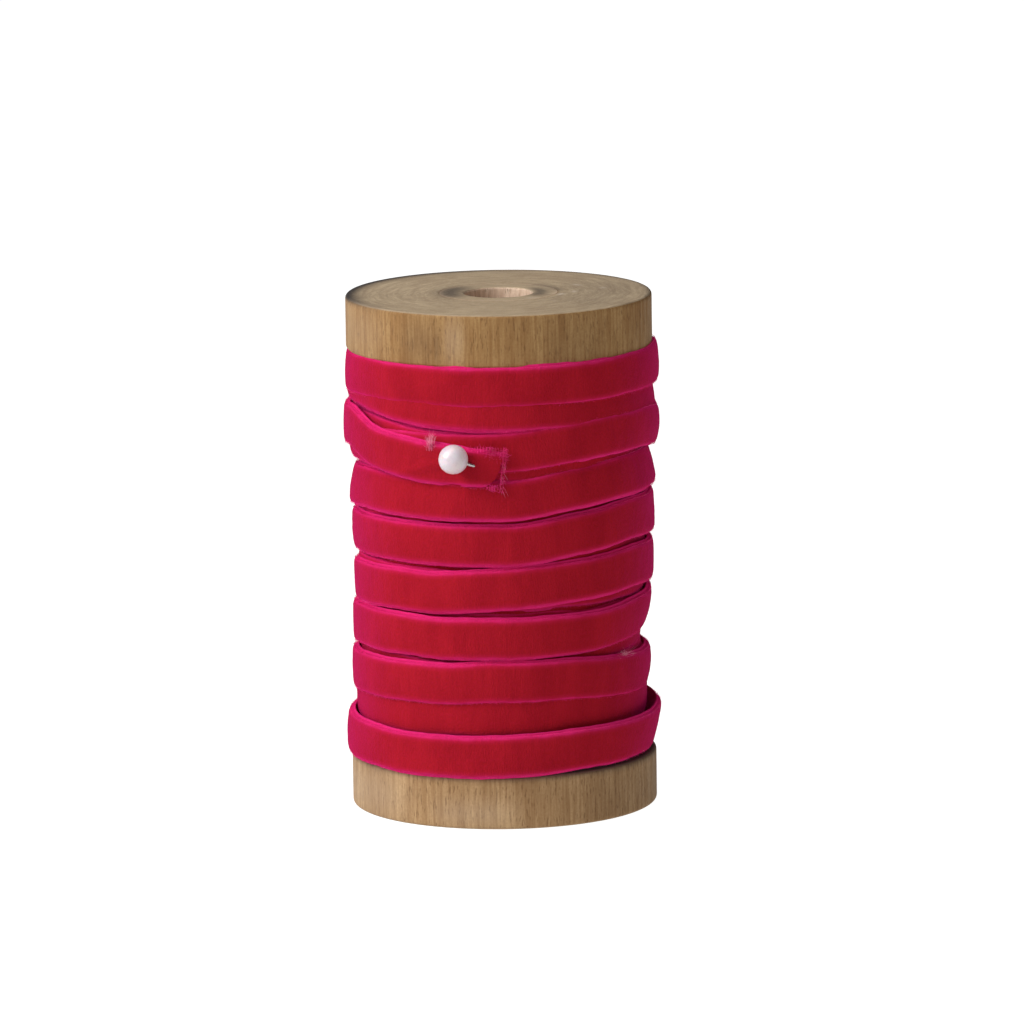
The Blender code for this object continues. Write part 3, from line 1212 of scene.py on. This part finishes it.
@dataclass(frozen=True)
class RibbonSection:
    """The ribbon's cross-section in mm: a thin ground cloth with bare selvedges and a raised pile."""

    half_width: float = 3.57
    thickness: float = 1.0
    ground: float = 0.26
    selvedge: float = 0.34
    face_points: int = 9

    def outline(self) -> tuple[np.ndarray, np.ndarray]:
        """The section's points, once round from the lower back corner.

        Returns:
            (across, out) points, out being 0 at the ground's back, and each point's share of pile.
        """
        half, shoulder = self.half_width, self.half_width - self.selvedge
        edge = [
            (half - 0.04, 0.0, 0.0), (half + 0.02, 0.5 * self.ground, 0.6), (half - 0.03, self.ground, 1.0),
            (shoulder + 0.03, self.ground + 0.02, 1.0), (shoulder - 0.02, 0.62 * self.thickness, 1.0),
            (shoulder - 0.14, 0.86 * self.thickness, 1.0), (shoulder - 0.38, 0.955 * self.thickness, 1.0),
        ]
        inner = shoulder - 0.75
        steps = self.face_points - 1
        face = [(inner * (1 - 2 * i / steps), self.thickness, 1.0) for i in range(steps + 1)]
        mirrored = [(-across, out, pile) for across, out, pile in reversed(edge)]
        back = [(-half * 0.5, 0.0, 0.0), (0.0, 0.0, 0.0), (half * 0.5, 0.0, 0.0)]
        points = np.array(edge + face + mirrored + back)
        return points[:, :2], points[:, 2]


@dataclass
class RibbonRun:
    """One run of the ribbon, from one bearing to another, as a closed strip."""

    name: str
    route: RibbonRoute
    span: tuple[float, float]
    section: RibbonSection
    step: float
    seed: int
    origin: float = 0.0
    arc_per_degree: float = 0.42  # mm of ribbon, for the slow sways
    pile_roughness: float = 0.018 * MM
    edge_wavelength: float = 4.5 * MM
    edge_sway: float = 0.035 * MM

    def __post_init__(self) -> None:
        """Works out the run's stations."""
        count = math.ceil((self.span[1] - self.span[0]) / self.step)
        self.bearings = np.linspace(*self.span, count + 1)
        self.middle, self.tangent, self.up, self.out = self._frames()
        gaps = np.linalg.norm(np.diff(self.middle, axis=0), axis=1)
        self.along = self.origin + np.concatenate([[0.0], np.cumsum(gaps)])

    @property
    def length(self) -> float:
        """The run's length in metres."""
        return float(self.along[-1] - self.along[0])

    def _frames(self) -> tuple[np.ndarray, ...]:
        """The middle line and its directions.

        Returns:
            Points, and unit vectors along the ribbon, up its width and out of its pile face.
        """
        turn = np.radians(self.bearings)
        sway = self.bearings * self.arc_per_degree * MM
        height = self.route.read("height", self.bearings) + wobble(sway, 11, 0.021, 0.07)
        radius = self.route.read("radius", self.bearings) + wobble(sway, 12, 0.016, 0.05)
        lean = np.radians(self.route.read("lean", self.bearings) + wobble(sway, 13, 0.018, 1.2))
        radius = radius - self.section.thickness / 2
        outward = np.stack([np.sin(turn), -np.cos(turn), np.zeros(len(turn))], axis=1)
        points = outward * (radius * MM)[:, None]
        points[:, 2] = height * MM
        tangent = np.gradient(points, axis=0)
        tangent /= np.linalg.norm(tangent, axis=1)[:, None]
        out = outward - (outward * tangent).sum(1)[:, None] * tangent
        out /= np.linalg.norm(out, axis=1)[:, None]
        up = np.cross(out, tangent)
        cos, sin = np.cos(lean)[:, None], np.sin(lean)[:, None]
        return points, tangent, up * cos + out * sin, out * cos - up * sin

    def surface(self, stations: np.ndarray, across: float, out: float) -> np.ndarray:
        """Points on the strip at some stations, at one place of its section in mm.

        Args:
            stations: Which stations.
            across: The place's distance above the strip's middle.
            out: The place's distance out from the strip's back.

        Returns:
            A point for each station.
        """
        cup = self.route.read("cup", self.bearings[stations])
        sunk = out - self.section.thickness / 2 - cup * (across / self.section.half_width) ** 2
        place = self.middle[stations] + self.up[stations] * (across * MM)
        return place + self.out[stations] * (sunk * MM)[:, None]

    def near_end(self, back: float, across: float, out: float) -> tuple[np.ndarray, ...]:
        """A place back metres from the run's end, and its directions along, up and out."""
        i = min(int(np.searchsorted(self.along, self.along[-1] - back)), len(self.along) - 1)
        place = self.surface(np.array([i]), across, out)[0]
        return place, self.tangent[i], self.up[i], self.out[i]

    def build(self, material: bpy.types.Material) -> bpy.types.Object:
        """Makes the strip.

        Args:
            material: The velvet.

        Returns:
            The strip, with its own across, along and pile values.
        """
        outline, pile = self.section.outline()
        count, around = len(self.bearings), len(outline)
        stations = np.arange(count)
        rings = np.stack([self.surface(stations, a, o) for a, o in outline], axis=1)
        rings = self.shape(rings, outline)
        ring = np.arange(around)
        onward = (ring + 1) % around
        start = stations[:-1, None] * around
        corners = [start + ring, start + onward, start + around + onward, start + around + ring]
        quads = np.stack(corners, axis=2).reshape(-1, 4)
        faces = quads.tolist() + [ring[::-1].tolist(), (ring + (count - 1) * around).tolist()]
        obj = add_object(self.name, mesh_from(rings.reshape(-1, 3), faces), material)
        face_outwards(obj, 60.0)
        self._store(obj, outline, pile, count)
        return obj

    def shape(self, rings: np.ndarray, outline: np.ndarray) -> np.ndarray:
        """Gives the pile its small unevenness.

        Args:
            rings: The strip's points, one ring for each station.
            outline: The section's (across, out) points.

        Returns:
            The points moved.
        """
        random = np.random.default_rng(self.seed)
        rough = random.normal(0.0, self.pile_roughness, rings.shape[:2])
        rough = (rough + np.roll(rough, 1, axis=0) + np.roll(rough, 1, axis=1)) / 1.7
        share = np.clip(outline[:, 1] / self.section.thickness, 0, 1)
        rings = rings + self.out[:, None, :] * (rough * share)[:, :, None]
        for side in (-1, 1):
            edge = np.clip((side * outline[:, 0] / self.section.half_width - 0.7) / 0.3, 0, 1)
            sway = wobble(self.along, self.seed + 3 + side, self.edge_wavelength, self.edge_sway)
            rings = rings + self.up[:, None, :] * (sway[:, None] * edge)[:, :, None]
        return rings

    def _store(self, obj: bpy.types.Object, outline: np.ndarray, pile: np.ndarray, count: int) -> None:
        """Stores the strip's own coordinates for the velvet.

        Args:
            obj: The strip.
            outline: The section's (across, out) points.
            pile: How much pile each of them carries.
            count: The number of stations.
        """
        around = len(outline)
        values = {
            "across": np.tile(outline[:, 0] / self.section.half_width, count),
            "along": np.repeat(self.along, around),
            "pile": np.tile(pile, count),
        }
        if len(obj.data.vertices) != count * around:
            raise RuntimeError(f"{obj.name} lost points when its doubles were merged")
        for name, stored in values.items():
            store_values(obj, name, stored)


@dataclass
class OuterRun(RibbonRun):
    """The visible turns and the loose end, which the pin presses down and whose cut is uneven."""

    pin_entry: Vector | None = None
    dent_depth: float = 0.30 * MM
    dent_reach: float = 0.9 * MM
    cut_reach: float = 3.2 * MM
    drawn_in: float = 0.8
    raggedness: float = 0.12
    pressed_reach: float = 25 * MM
    crease_height: float = 0.45 * MM

    def shape(self, rings: np.ndarray, outline: np.ndarray) -> np.ndarray:
        """Dents the strip at the pin and trims its end, as well as what every run gets.

        Args:
            rings: The strip's points, one ring for each station.
            outline: The section's (across, out) points.

        Returns:
            The points moved.
        """
        rings = super().shape(rings, outline)
        pressed = self.along > self.along[-1] - self.pressed_reach
        off = np.linalg.norm(rings - np.array(self.pin_entry), axis=2)
        dent = self.dent_depth * np.exp(-((off / self.dent_reach) ** 2)) * pressed[:, None]
        rings = rings - self.out[:, None, :] * (dent - self._creased(outline[:, 0]))[:, :, None]
        back = self.along[-1] - self.along
        left = np.clip(1 - back / self.cut_reach, 0, 1)[:, None]
        across = outline[:, 0][None, :]
        drawn = self.drawn_in * MM * np.interp(back, [0.0, 5 * MM, 11 * MM], [1.0, 0.55, 0.0])[:, None]
        share = across / self.section.half_width
        rings = rings - self.up[:, None, :] * (drawn * np.where(share > 0, share, 0.8 * share))[:, :, None]
        random = np.random.default_rng(self.seed + 40)
        ragged = random.uniform(-self.raggedness, self.raggedness, len(outline))[None, :] * MM
        trim = self._trimmed(across) * MM + ragged
        return rings - self.tangent[:, None, :] * (trim * left**1.5)[:, :, None]

    def _creased(self, across: np.ndarray) -> np.ndarray:
        """How far a faint crease, rising from the lower edge to the pin, stands out at each place.

        Args:
            across: The section's places above the strip's middle, in mm.

        Returns:
            The height of the crease, for each station and place.
        """
        back = (self.along[-1] - self.along)[:, None] / MM
        line = np.interp(back, [10.0, 12.0, 18.7], [0.3, -0.1, -3.0])
        ridge = np.exp(-(((across[None, :] - line) / 0.5) ** 2))
        return self.crease_height * ridge * np.interp(back, [8.0, 10.5, 16.0, 19.0], [0.0, 1.0, 0.8, 0.0])

    @staticmethod
    def _trimmed(across: np.ndarray) -> np.ndarray:
        """How much shorter the cut end is at each place across the ribbon, in mm."""
        return np.interp(across, [-3.5, -2.9, -2.2, 0.0, 2.4, 3.5], [2.6, 2.2, 1.5, 0.8, 0.35, 0.0])


def fibre_tree() -> bpy.types.NodeTree:
    """The tree that plants short tapered fibres along lines.

    Returns:
        The tree. Its geometry input is edges whose points hold a direction.
    """
    graph, start = new_group(
        "planted_fibres", "GeometryNodeTree",
        [
            Port("Geometry", SocketKind.GEOMETRY),
            Port("Spacing", SocketKind.VALUE, 0.0002),
            Port("Length", SocketKind.VALUE, 0.0003),
            Port("Thickness", SocketKind.VALUE, 0.00004),
            Port("Spread", SocketKind.VALUE, 0.5),
            Port("Seed", SocketKind.WHOLE, 1),
            Port("Material", SocketKind.MATERIAL),
        ],
        [Port("Geometry", SocketKind.GEOMETRY)],
    )
    line = graph.add("GeometryNodeMeshToCurve", {"Mesh": start["Geometry"]}).outputs[0]
    spaced = graph.add(
        "GeometryNodeResampleCurve", {"Curve": line, "Length": start["Spacing"]}, mode="LENGTH",
    ).outputs[0]
    half = graph.math("MULTIPLY", start["Thickness"], 0.5)
    cone = graph.add(
        "GeometryNodeMeshCone",
        {"Vertices": 3, "Radius Bottom": half, "Radius Top": 0.0, "Depth": start["Length"]},
    ).outputs["Mesh"]
    leaning = graph.add(
        "GeometryNodeInputNamedAttribute", {"Name": "direction"}, data_type="FLOAT_VECTOR",
    ).outputs[0]
    scatter = graph.add(
        "FunctionNodeRandomValue", {0: (-1.0, -1.0, -1.0), 1: (1.0, 1.0, 1.0), "Seed": start["Seed"]},
        data_type="FLOAT_VECTOR",
    ).outputs[0]
    aimed = graph.vector("ADD", leaning, graph.scaled(scatter, start["Spread"]))
    turned = graph.add("FunctionNodeAlignRotationToVector", {"Vector": aimed}, axis="Z").outputs[0]
    other_seed = graph.math("ADD", start["Seed"], 7.0)
    sizes = graph.add(
        "FunctionNodeRandomValue", {2: 0.55, 3: 1.25, "Seed": other_seed}, data_type="FLOAT",
    ).outputs[1]
    planted = graph.add(
        "GeometryNodeInstanceOnPoints",
        {"Points": spaced, "Instance": cone, "Rotation": turned, "Scale": sizes},
    ).outputs[0]
    graph.dressed(planted, start["Material"])
    return graph.tree


def thread_tree() -> bpy.types.NodeTree:
    """The tree that turns lines into thin tapered threads.

    Returns:
        The tree. Its geometry input is edges, one line for each thread.
    """
    graph, start = new_group(
        "loose_threads", "GeometryNodeTree",
        [
            Port("Geometry", SocketKind.GEOMETRY),
            Port("Thickness", SocketKind.VALUE, 0.00007),
            Port("Sides", SocketKind.WHOLE, 4),
            Port("Material", SocketKind.MATERIAL),
        ],
        [Port("Geometry", SocketKind.GEOMETRY)],
    )
    line = graph.add("GeometryNodeMeshToCurve", {"Mesh": start["Geometry"]}).outputs[0]
    share = graph.add("GeometryNodeSplineParameter").outputs["Factor"]
    thin = graph.spread(share, 0.0, 1.0, 1.0, 0.45)
    ring = graph.add(
        "GeometryNodeCurvePrimitiveCircle",
        {"Resolution": start["Sides"], "Radius": graph.math("MULTIPLY", start["Thickness"], 0.5)},
    ).outputs["Curve"]
    tube = graph.add(
        "GeometryNodeCurveToMesh",
        {"Curve": line, "Profile Curve": ring, "Scale": thin, "Fill Caps": True},
    ).outputs[0]
    graph.dressed(tube, start["Material"])
    return graph.tree


def line_host(
    name: str, lines: list[np.ndarray], directions: list[np.ndarray] | None = None
) -> bpy.types.Object:
    """An object of plain lines for a tree to start from.

    Args:
        name: The object's name.
        lines: Points of each line.
        directions: A direction for each point, if the tree reads them.

    Returns:
        The object.
    """
    points = np.concatenate(lines)
    edges, first = [], 0
    for line in lines:
        edges += [(first + i, first + i + 1) for i in range(len(line) - 1)]
        first += len(line)
    obj = add_object(name, mesh_from(points, [], edges))
    if directions is not None:
        stored = obj.data.attributes.new("direction", "FLOAT_VECTOR", "POINT")
        stored.data.foreach_set("vector", np.concatenate(directions).astype(np.float32).ravel())
    return obj


def curled(place: np.ndarray, size: float, aim: np.ndarray, bend: np.ndarray, points: int) -> np.ndarray:
    """The line of one fibre.

    Args:
        place: Its root.
        size: Its length in metres, before it bends.
        aim: Where it sets off to.
        bend: Where it curls to.
        points: How many points it has.

    Returns:
        The line's points.
    """
    steps = np.linspace(0, 1, points)[:, None]
    return place + size * (steps * aim + steps**2 * bend)


@dataclass
class VelvetRibbon:
    """The whole wound ribbon, its pile fringe and its frayed end."""

    sizes: SpoolFrame
    section: RibbonSection
    width: float = 7.0
    outer_step: float = 0.95
    middle_step: float = 1.3
    inner_step: float = 3.0
    pinned_radius: float = 26.6 * MM

    def build(self, finishes: Finishes) -> None:
        """Winds the ribbon and dresses it.

        Args:
            finishes: The spool's finishes.
        """
        route = RibbonRoute.wind()
        coarse = RibbonSection(face_points=3)
        inner = RibbonRun("ribbon_first_layer", route, route.ends["inner"], coarse, self.inner_step, 21)
        middle = RibbonRun(
            "ribbon_second_layer", route, route.ends["middle"], self.section, self.middle_step, 22,
            inner.length,
        )
        outer = OuterRun(
            "ribbon_outer_turns", route, route.ends["outer"], self.section, self.outer_step, 23,
            inner.length + middle.length, pin_entry=self.sizes.pin_entry(self.pinned_radius),
        )
        fringe = self._fringe([middle, outer], finishes)
        frayed = self._frayed_end(outer, finishes)
        pin = [frame["nodes"]["pin_shaft"], bpy.data.objects["pearl_bead"]]
        for run, nodes, pieces, far_end in (
            (inner, ["ribbon_inner_winding"], [], "object"),
            (middle, ["ribbon_middle_winding"], [], "object"),
            (outer, ["ribbon_outer_winding", "ribbon_tail"], [fringe, *frayed, *pin], "bare"),
        ):
            self._declare(run, nodes, finishes)

    def _declare(
        self, run: RibbonRun, nodes: list[str], finishes: Finishes
    ) -> None:
        """Args:
            run: The run.
            nodes: The CAD nodes that it stands for.
            finishes: The spool's finishes.
        """
        obj = run.build(finishes.velvet)
        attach(obj, "spool")
        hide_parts(*nodes)
        LOG.info("%s: %.3f m, %d faces", obj.name, run.length, len(obj.data.polygons))

    def _fringe(self, runs: list[RibbonRun], finishes: Finishes) -> bpy.types.Object:
        """Plants fibres along the pile's two shoulders.

        Args:
            runs: The runs to plant them on.
            finishes: The spool's finishes.

        Returns:
            The fibres.
        """
        lines, directions = [], []
        shoulder = self.section.half_width - self.section.selvedge - 0.05
        for run in runs:
            stations = np.arange(0, len(run.bearings) - 4, 2)
            for side in (-1, 1):
                lines.append(run.surface(stations, side * shoulder, 0.78 * self.section.thickness))
                directions.append(run.out[stations] * 0.55 + run.up[stations] * side * 0.8)
        host = line_host("fringe_lines", lines, directions)
        values = {
            "Spacing": 0.17 * MM, "Length": 0.30 * MM, "Thickness": 0.05 * MM, "Spread": 0.55, "Seed": 5,
            "Material": finishes.pile_fibre,
        }
        obj = run_tree(host, fibre_tree(), "ribbon_pile_fringe", values)
        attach(obj, "spool")
        LOG.info("%s: %d faces", obj.name, len(obj.data.polygons))
        return obj

    def _frayed_end(self, outer: RibbonRun, finishes: Finishes) -> list[bpy.types.Object]:
        """Makes the tufts and threads of the cut end.

        Args:
            outer: The outer run.
            finishes: The spool's finishes.

        Returns:
            The tufts and the threads.
        """
        made = []
        tree = thread_tree()
        for name, lines, thickness, material in (
            ("frayed_tufts", self._tufts(outer), 0.055 * MM, finishes.pile_fibre),
            ("loose_pale_threads", self._pale_threads(outer), 0.04 * MM, finishes.pale_fibre),
        ):
            host = line_host(name + "_lines", lines)
            obj = run_tree(host, tree, name, {"Thickness": thickness, "Material": material})
            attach(obj, "spool")
            LOG.info("%s: %d faces", obj.name, len(obj.data.polygons))
            made.append(obj)
        return made

    @staticmethod
    def _tufts(run: RibbonRun) -> list[np.ndarray]:
        """Short curled fibres that stand from the cut and its corners.

        Args:
            run: The outer run.

        Returns:
            A line for each fibre.
        """
        random = np.random.default_rng(77)
        clumps = (  # back from the end, across, spread back, spread across, number, length, in mm
            (2.4, 2.9, 0.60, 0.40, 240, 0.55),
            (0.6, 2.2, 0.35, 0.55, 200, 0.6),
            (3.6, 3.2, 1.10, 0.25, 160, 0.4),
            (1.9, -3.0, 0.55, 0.25, 140, 0.5),
            (0.5, -0.5, 0.22, 2.4, 260, 0.42),
        )
        lines = []
        for back, across, along_by, across_by, number, length in clumps:
            for _ in range(number):
                here = max(0.05, back + random.normal(0, along_by))
                side = float(np.clip(across + random.normal(0, across_by), -3.5, 3.5))
                place, along, up, out = run.near_end(here * MM, side, random.uniform(0.5, 1.0))
                aim = along * random.uniform(-0.2, 0.9) + up * random.uniform(-0.8, 0.8)
                aim = aim + out * random.uniform(0.3, 1.1)
                bend = random.normal(0, 0.5, 3) * 0.8
                lines.append(curled(place, length * random.uniform(0.4, 1.2) * MM, aim, bend, 5))
        return lines

    def _pale_threads(self, run: RibbonRun) -> list[np.ndarray]:
        """The pale fibres: a tuft above the pearl, loose ones at the cut, and lint on a lower turn."""
        random = np.random.default_rng(78)
        return self._tuft(run, random) + self._hanging(run, random) + self._lint(run, random)

    @staticmethod
    def _tuft(run: RibbonRun, random: np.random.Generator) -> list[np.ndarray]:
        """A pale tuft above the pearl.

        Args:
            run: The outer run.
            random: Where the draws come from.

        Returns:
            A line for each fibre.
        """
        lines = []
        for _ in range(PALE_TUFT_FIBRES):
            side = random.uniform(1.9, 4.1)
            place, along, up, out = run.near_end((PALE_TUFT_BACK + random.normal(0, 0.34)) * MM, side, 0.9)
            aim = up * random.uniform(0.4, 1.0) - along * random.normal(0, 0.14)
            aim = aim + out * random.uniform(0.05, 0.4)
            bend = random.normal(0, 0.22, 3)
            lines.append(curled(place, random.uniform(0.6, 1.5) * MM, aim, bend, 6))
        return lines

    @staticmethod
    def _hanging(run: RibbonRun, random: np.random.Generator) -> list[np.ndarray]:
        """Loose fibres that hang from the cut.

        Args:
            run: The outer run.
            random: Where the draws come from.

        Returns:
            A line for each fibre.
        """
        lines = []
        for _ in range(HANGING_FIBRES):
            side = random.uniform(-3.3, 1.5)
            place, along, up, out = run.near_end(random.uniform(0.2, 0.8) * MM, side, 0.5)
            aim = along * random.uniform(0.3, 0.9) - up * random.uniform(0.4, 1.2)
            aim = aim + out * random.uniform(0.02, 0.25)
            droop = -up * random.uniform(0.1, 0.5) - out * 0.35
            lines.append(curled(place, random.uniform(0.4, 1.5) * MM, aim, droop, 8))
        return lines

    @staticmethod
    def _lint(run: RibbonRun, random: np.random.Generator) -> list[np.ndarray]:
        """Lint caught on the upper edge of a lower turn.

        Args:
            run: The outer run.
            random: Where the draws come from.

        Returns:
            A line for each fibre.
        """
        caught_at = np.interp(360.0 * LINTED_TURN + LINT_BEARING, run.bearings, run.along)
        lines = []
        for _ in range(LINT_FIBRES):
            back = run.along[-1] - caught_at + random.normal(0, 0.9) * MM
            place, along, up, out = run.near_end(back, random.uniform(2.9, 3.7), random.uniform(0.1, 0.9))
            aim = along * random.normal(0, 0.8) + up * random.uniform(-0.2, 0.8)
            aim = aim + out * random.uniform(-0.2, 0.6)
            size = random.uniform(0.4, 1.3) * MM
            lines.append(curled(place, size, aim, random.normal(0, 0.4, 3), 5))
        return lines


# ------------------------------------------------------------------ the pin


@dataclass
class PearlPin:
    """The pearl on its steel wire."""

    sizes: SpoolFrame
    subdivisions: int = 5
    unevenness: float = 0.004
    dimple_reach: float = 0.55 * MM
    dimple_depth: float = 0.12 * MM

    def build(self, finishes: Finishes) -> None:
        """Makes the pearl in its CAD node's place and dresses the CAD wire.

        Args:
            finishes: The spool's finishes.
        """
        bm = bmesh.new()
        bmesh.ops.create_icosphere(bm, subdivisions=self.subdivisions, radius=self.sizes.pearl_radius)
        for vert in bm.verts:
            side = vert.co.normalized()
            swell = self.unevenness * math.sin(3 * side.x + 1.3) * math.cos(2.4 * side.z - 0.7)
            vert.co *= 1 - self.unevenness + swell
            away = (side - self.sizes.pin_direction).length * self.sizes.pearl_radius
            vert.co -= side * self.dimple_depth * math.exp(-((away / self.dimple_reach) ** 2))
        mesh = bpy.data.meshes.new("pearl_bead")
        bm.to_mesh(mesh)
        bm.free()
        mesh.transform(Matrix.Translation(self.sizes.pearl_centre))
        pearl = add_object("pearl_bead", mesh, finishes.pearl)
        pearl.data.shade_smooth()
        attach(pearl, "pin")
        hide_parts("pearl_head")
        wire = frame["nodes"]["pin_shaft"]
        wire.data.materials.clear()
        wire.data.materials.append(finishes.wire)
        LOG.info("pearl_bead: %d faces, on the CAD wire", len(mesh.polygons))


# ------------------------------------------------------------------ camera, light and floor


@dataclass(frozen=True)
class SoftBox:
    """A square studio light, placed round the spool and aimed at its middle."""

    name: str
    azimuth: float
    elevation: float
    distance: float
    size: float
    power: float
    colour: Colour = (1.0, 1.0, 1.0)

    def build(self, target: Vector) -> None:
        """Adds the light, aimed at target.

        Args:
            target: Where it is aimed.
        """
        turn, rise = math.radians(self.azimuth), math.radians(self.elevation)
        away = Vector((math.sin(turn) * math.cos(rise), -math.cos(turn) * math.cos(rise), math.sin(rise)))
        data = bpy.data.lights.new(self.name, "AREA")
        data.shape, data.size, data.energy, data.color = "SQUARE", self.size, self.power, self.colour
        light = bpy.data.objects.new(self.name, data)
        light.location = target + away * self.distance
        light.rotation_euler = away.to_track_quat("Z", "Y").to_euler()
        bpy.context.scene.collection.objects.link(light)


@dataclass
class Studio:
    """A long lens a little above the spool, soft light from the left, and a pale floor."""

    sizes: SpoolFrame
    distance: float = 1.45
    elevation: float = 10.36
    roll: float = -0.785
    lens: float = 311.0
    aim_right: float = 1.67 * MM
    aim_up: float = 5.62 * MM
    air_glow: float = 0.05
    floor_white: float = 0.97
    floor_bounce: float = 0.63

    def build(self) -> None:
        """Sets up the whole studio."""
        middle = Vector((0.0, 0.0, self.sizes.height / 2))
        self._camera(middle)
        for box in (
            SoftBox("key_light", -70.0, 34.0, 0.9, 0.6, 8.6, (0.98, 0.99, 1.0)),
            SoftBox("front_fill", 20.0, 22.0, 1.3, 0.9, 3.1, (1.0, 0.98, 0.95)),
            SoftBox("top_light", -50.0, 74.0, 0.9, 0.6, 2.7),
        ):
            box.build(middle)
        world = bpy.data.worlds.new("studio_air")
        world.use_nodes = True
        air = world.node_tree.nodes["Background"]
        NodeGraph(world.node_tree).fill(air, {"Color": rgba((1.0, 1.0, 1.0)), "Strength": self.air_glow})
        bpy.context.scene.world = world
        bpy.context.scene.view_settings.view_transform = "Standard"
        self._floor()

    def _camera(self, middle: Vector) -> None:
        """Adds the camera, a little rolled, and makes it the scene's.

        Args:
            middle: The spool's middle.
        """
        rise = math.radians(self.elevation)
        back = Vector((0.0, -math.cos(rise), math.sin(rise)))
        place = middle + back * self.distance
        level = (-back).to_track_quat("-Z", "Y").to_matrix()
        rolled = level @ Matrix.Rotation(math.radians(self.roll), 3, "Z")
        aim = middle + rolled @ Vector((self.aim_right, self.aim_up, 0.0))
        look = (aim - place).normalized()
        side = (rolled @ Vector((1.0, 0.0, 0.0))).normalized()
        up = side.cross(look).normalized()
        side = look.cross(up).normalized()
        turn = Matrix((side, up, -look)).transposed()
        data = bpy.data.cameras.new("camera")
        data.lens, data.sensor_width = self.lens, 36.0
        data.clip_start, data.clip_end = 0.05, 50.0
        camera = bpy.data.objects.new("camera", data)
        camera.matrix_world = Matrix.Translation(place) @ turn.to_4x4()
        bpy.context.scene.collection.objects.link(camera)
        bpy.context.scene.camera = camera

    def _floor(self) -> None:
        """Adds the floor that the spool stands on."""
        material, graph, shader = material_graph("floor_finish")
        here = graph.add("ShaderNodeTexCoord").outputs["Object"]
        seen = graph.add("ShaderNodeLightPath").outputs["Is Camera Ray"]
        graph.fill(shader, {
            "Base Color": graph.grey(graph.spread(graph.noise(here, 900.0), 0.2, 0.8, 0.28, 0.32)),
            "Roughness": 0.9,
            "Emission Color": graph.grey(graph.spread(seen, 0.0, 1.0, self.floor_bounce, self.floor_white)),
            "Emission Strength": 1.0,
        })
        half, low = 5.0, -0.02 * MM
        corners = np.array([(-half, -half, low), (half, -half, low), (half, half, low), (-half, half, low)])
        floor = add_object("studio_floor", mesh_from(corners, [[0, 1, 2, 3]]), material)


# ------------------------------------------------------------------ putting it together


def main() -> None:
    """Builds the spool's looks around the frame."""
    logging.basicConfig(level=logging.INFO, format="%(name)s: %(message)s")
    sizes = SpoolFrame.read()
    Studio(sizes).build()
    finishes = Finishes.build()
    WoodenSpool(sizes).build(finishes)
    PearlPin(sizes).build(finishes)
    VelvetRibbon(sizes, RibbonSection()).build(finishes)


if __name__ == "__main__":
    main()
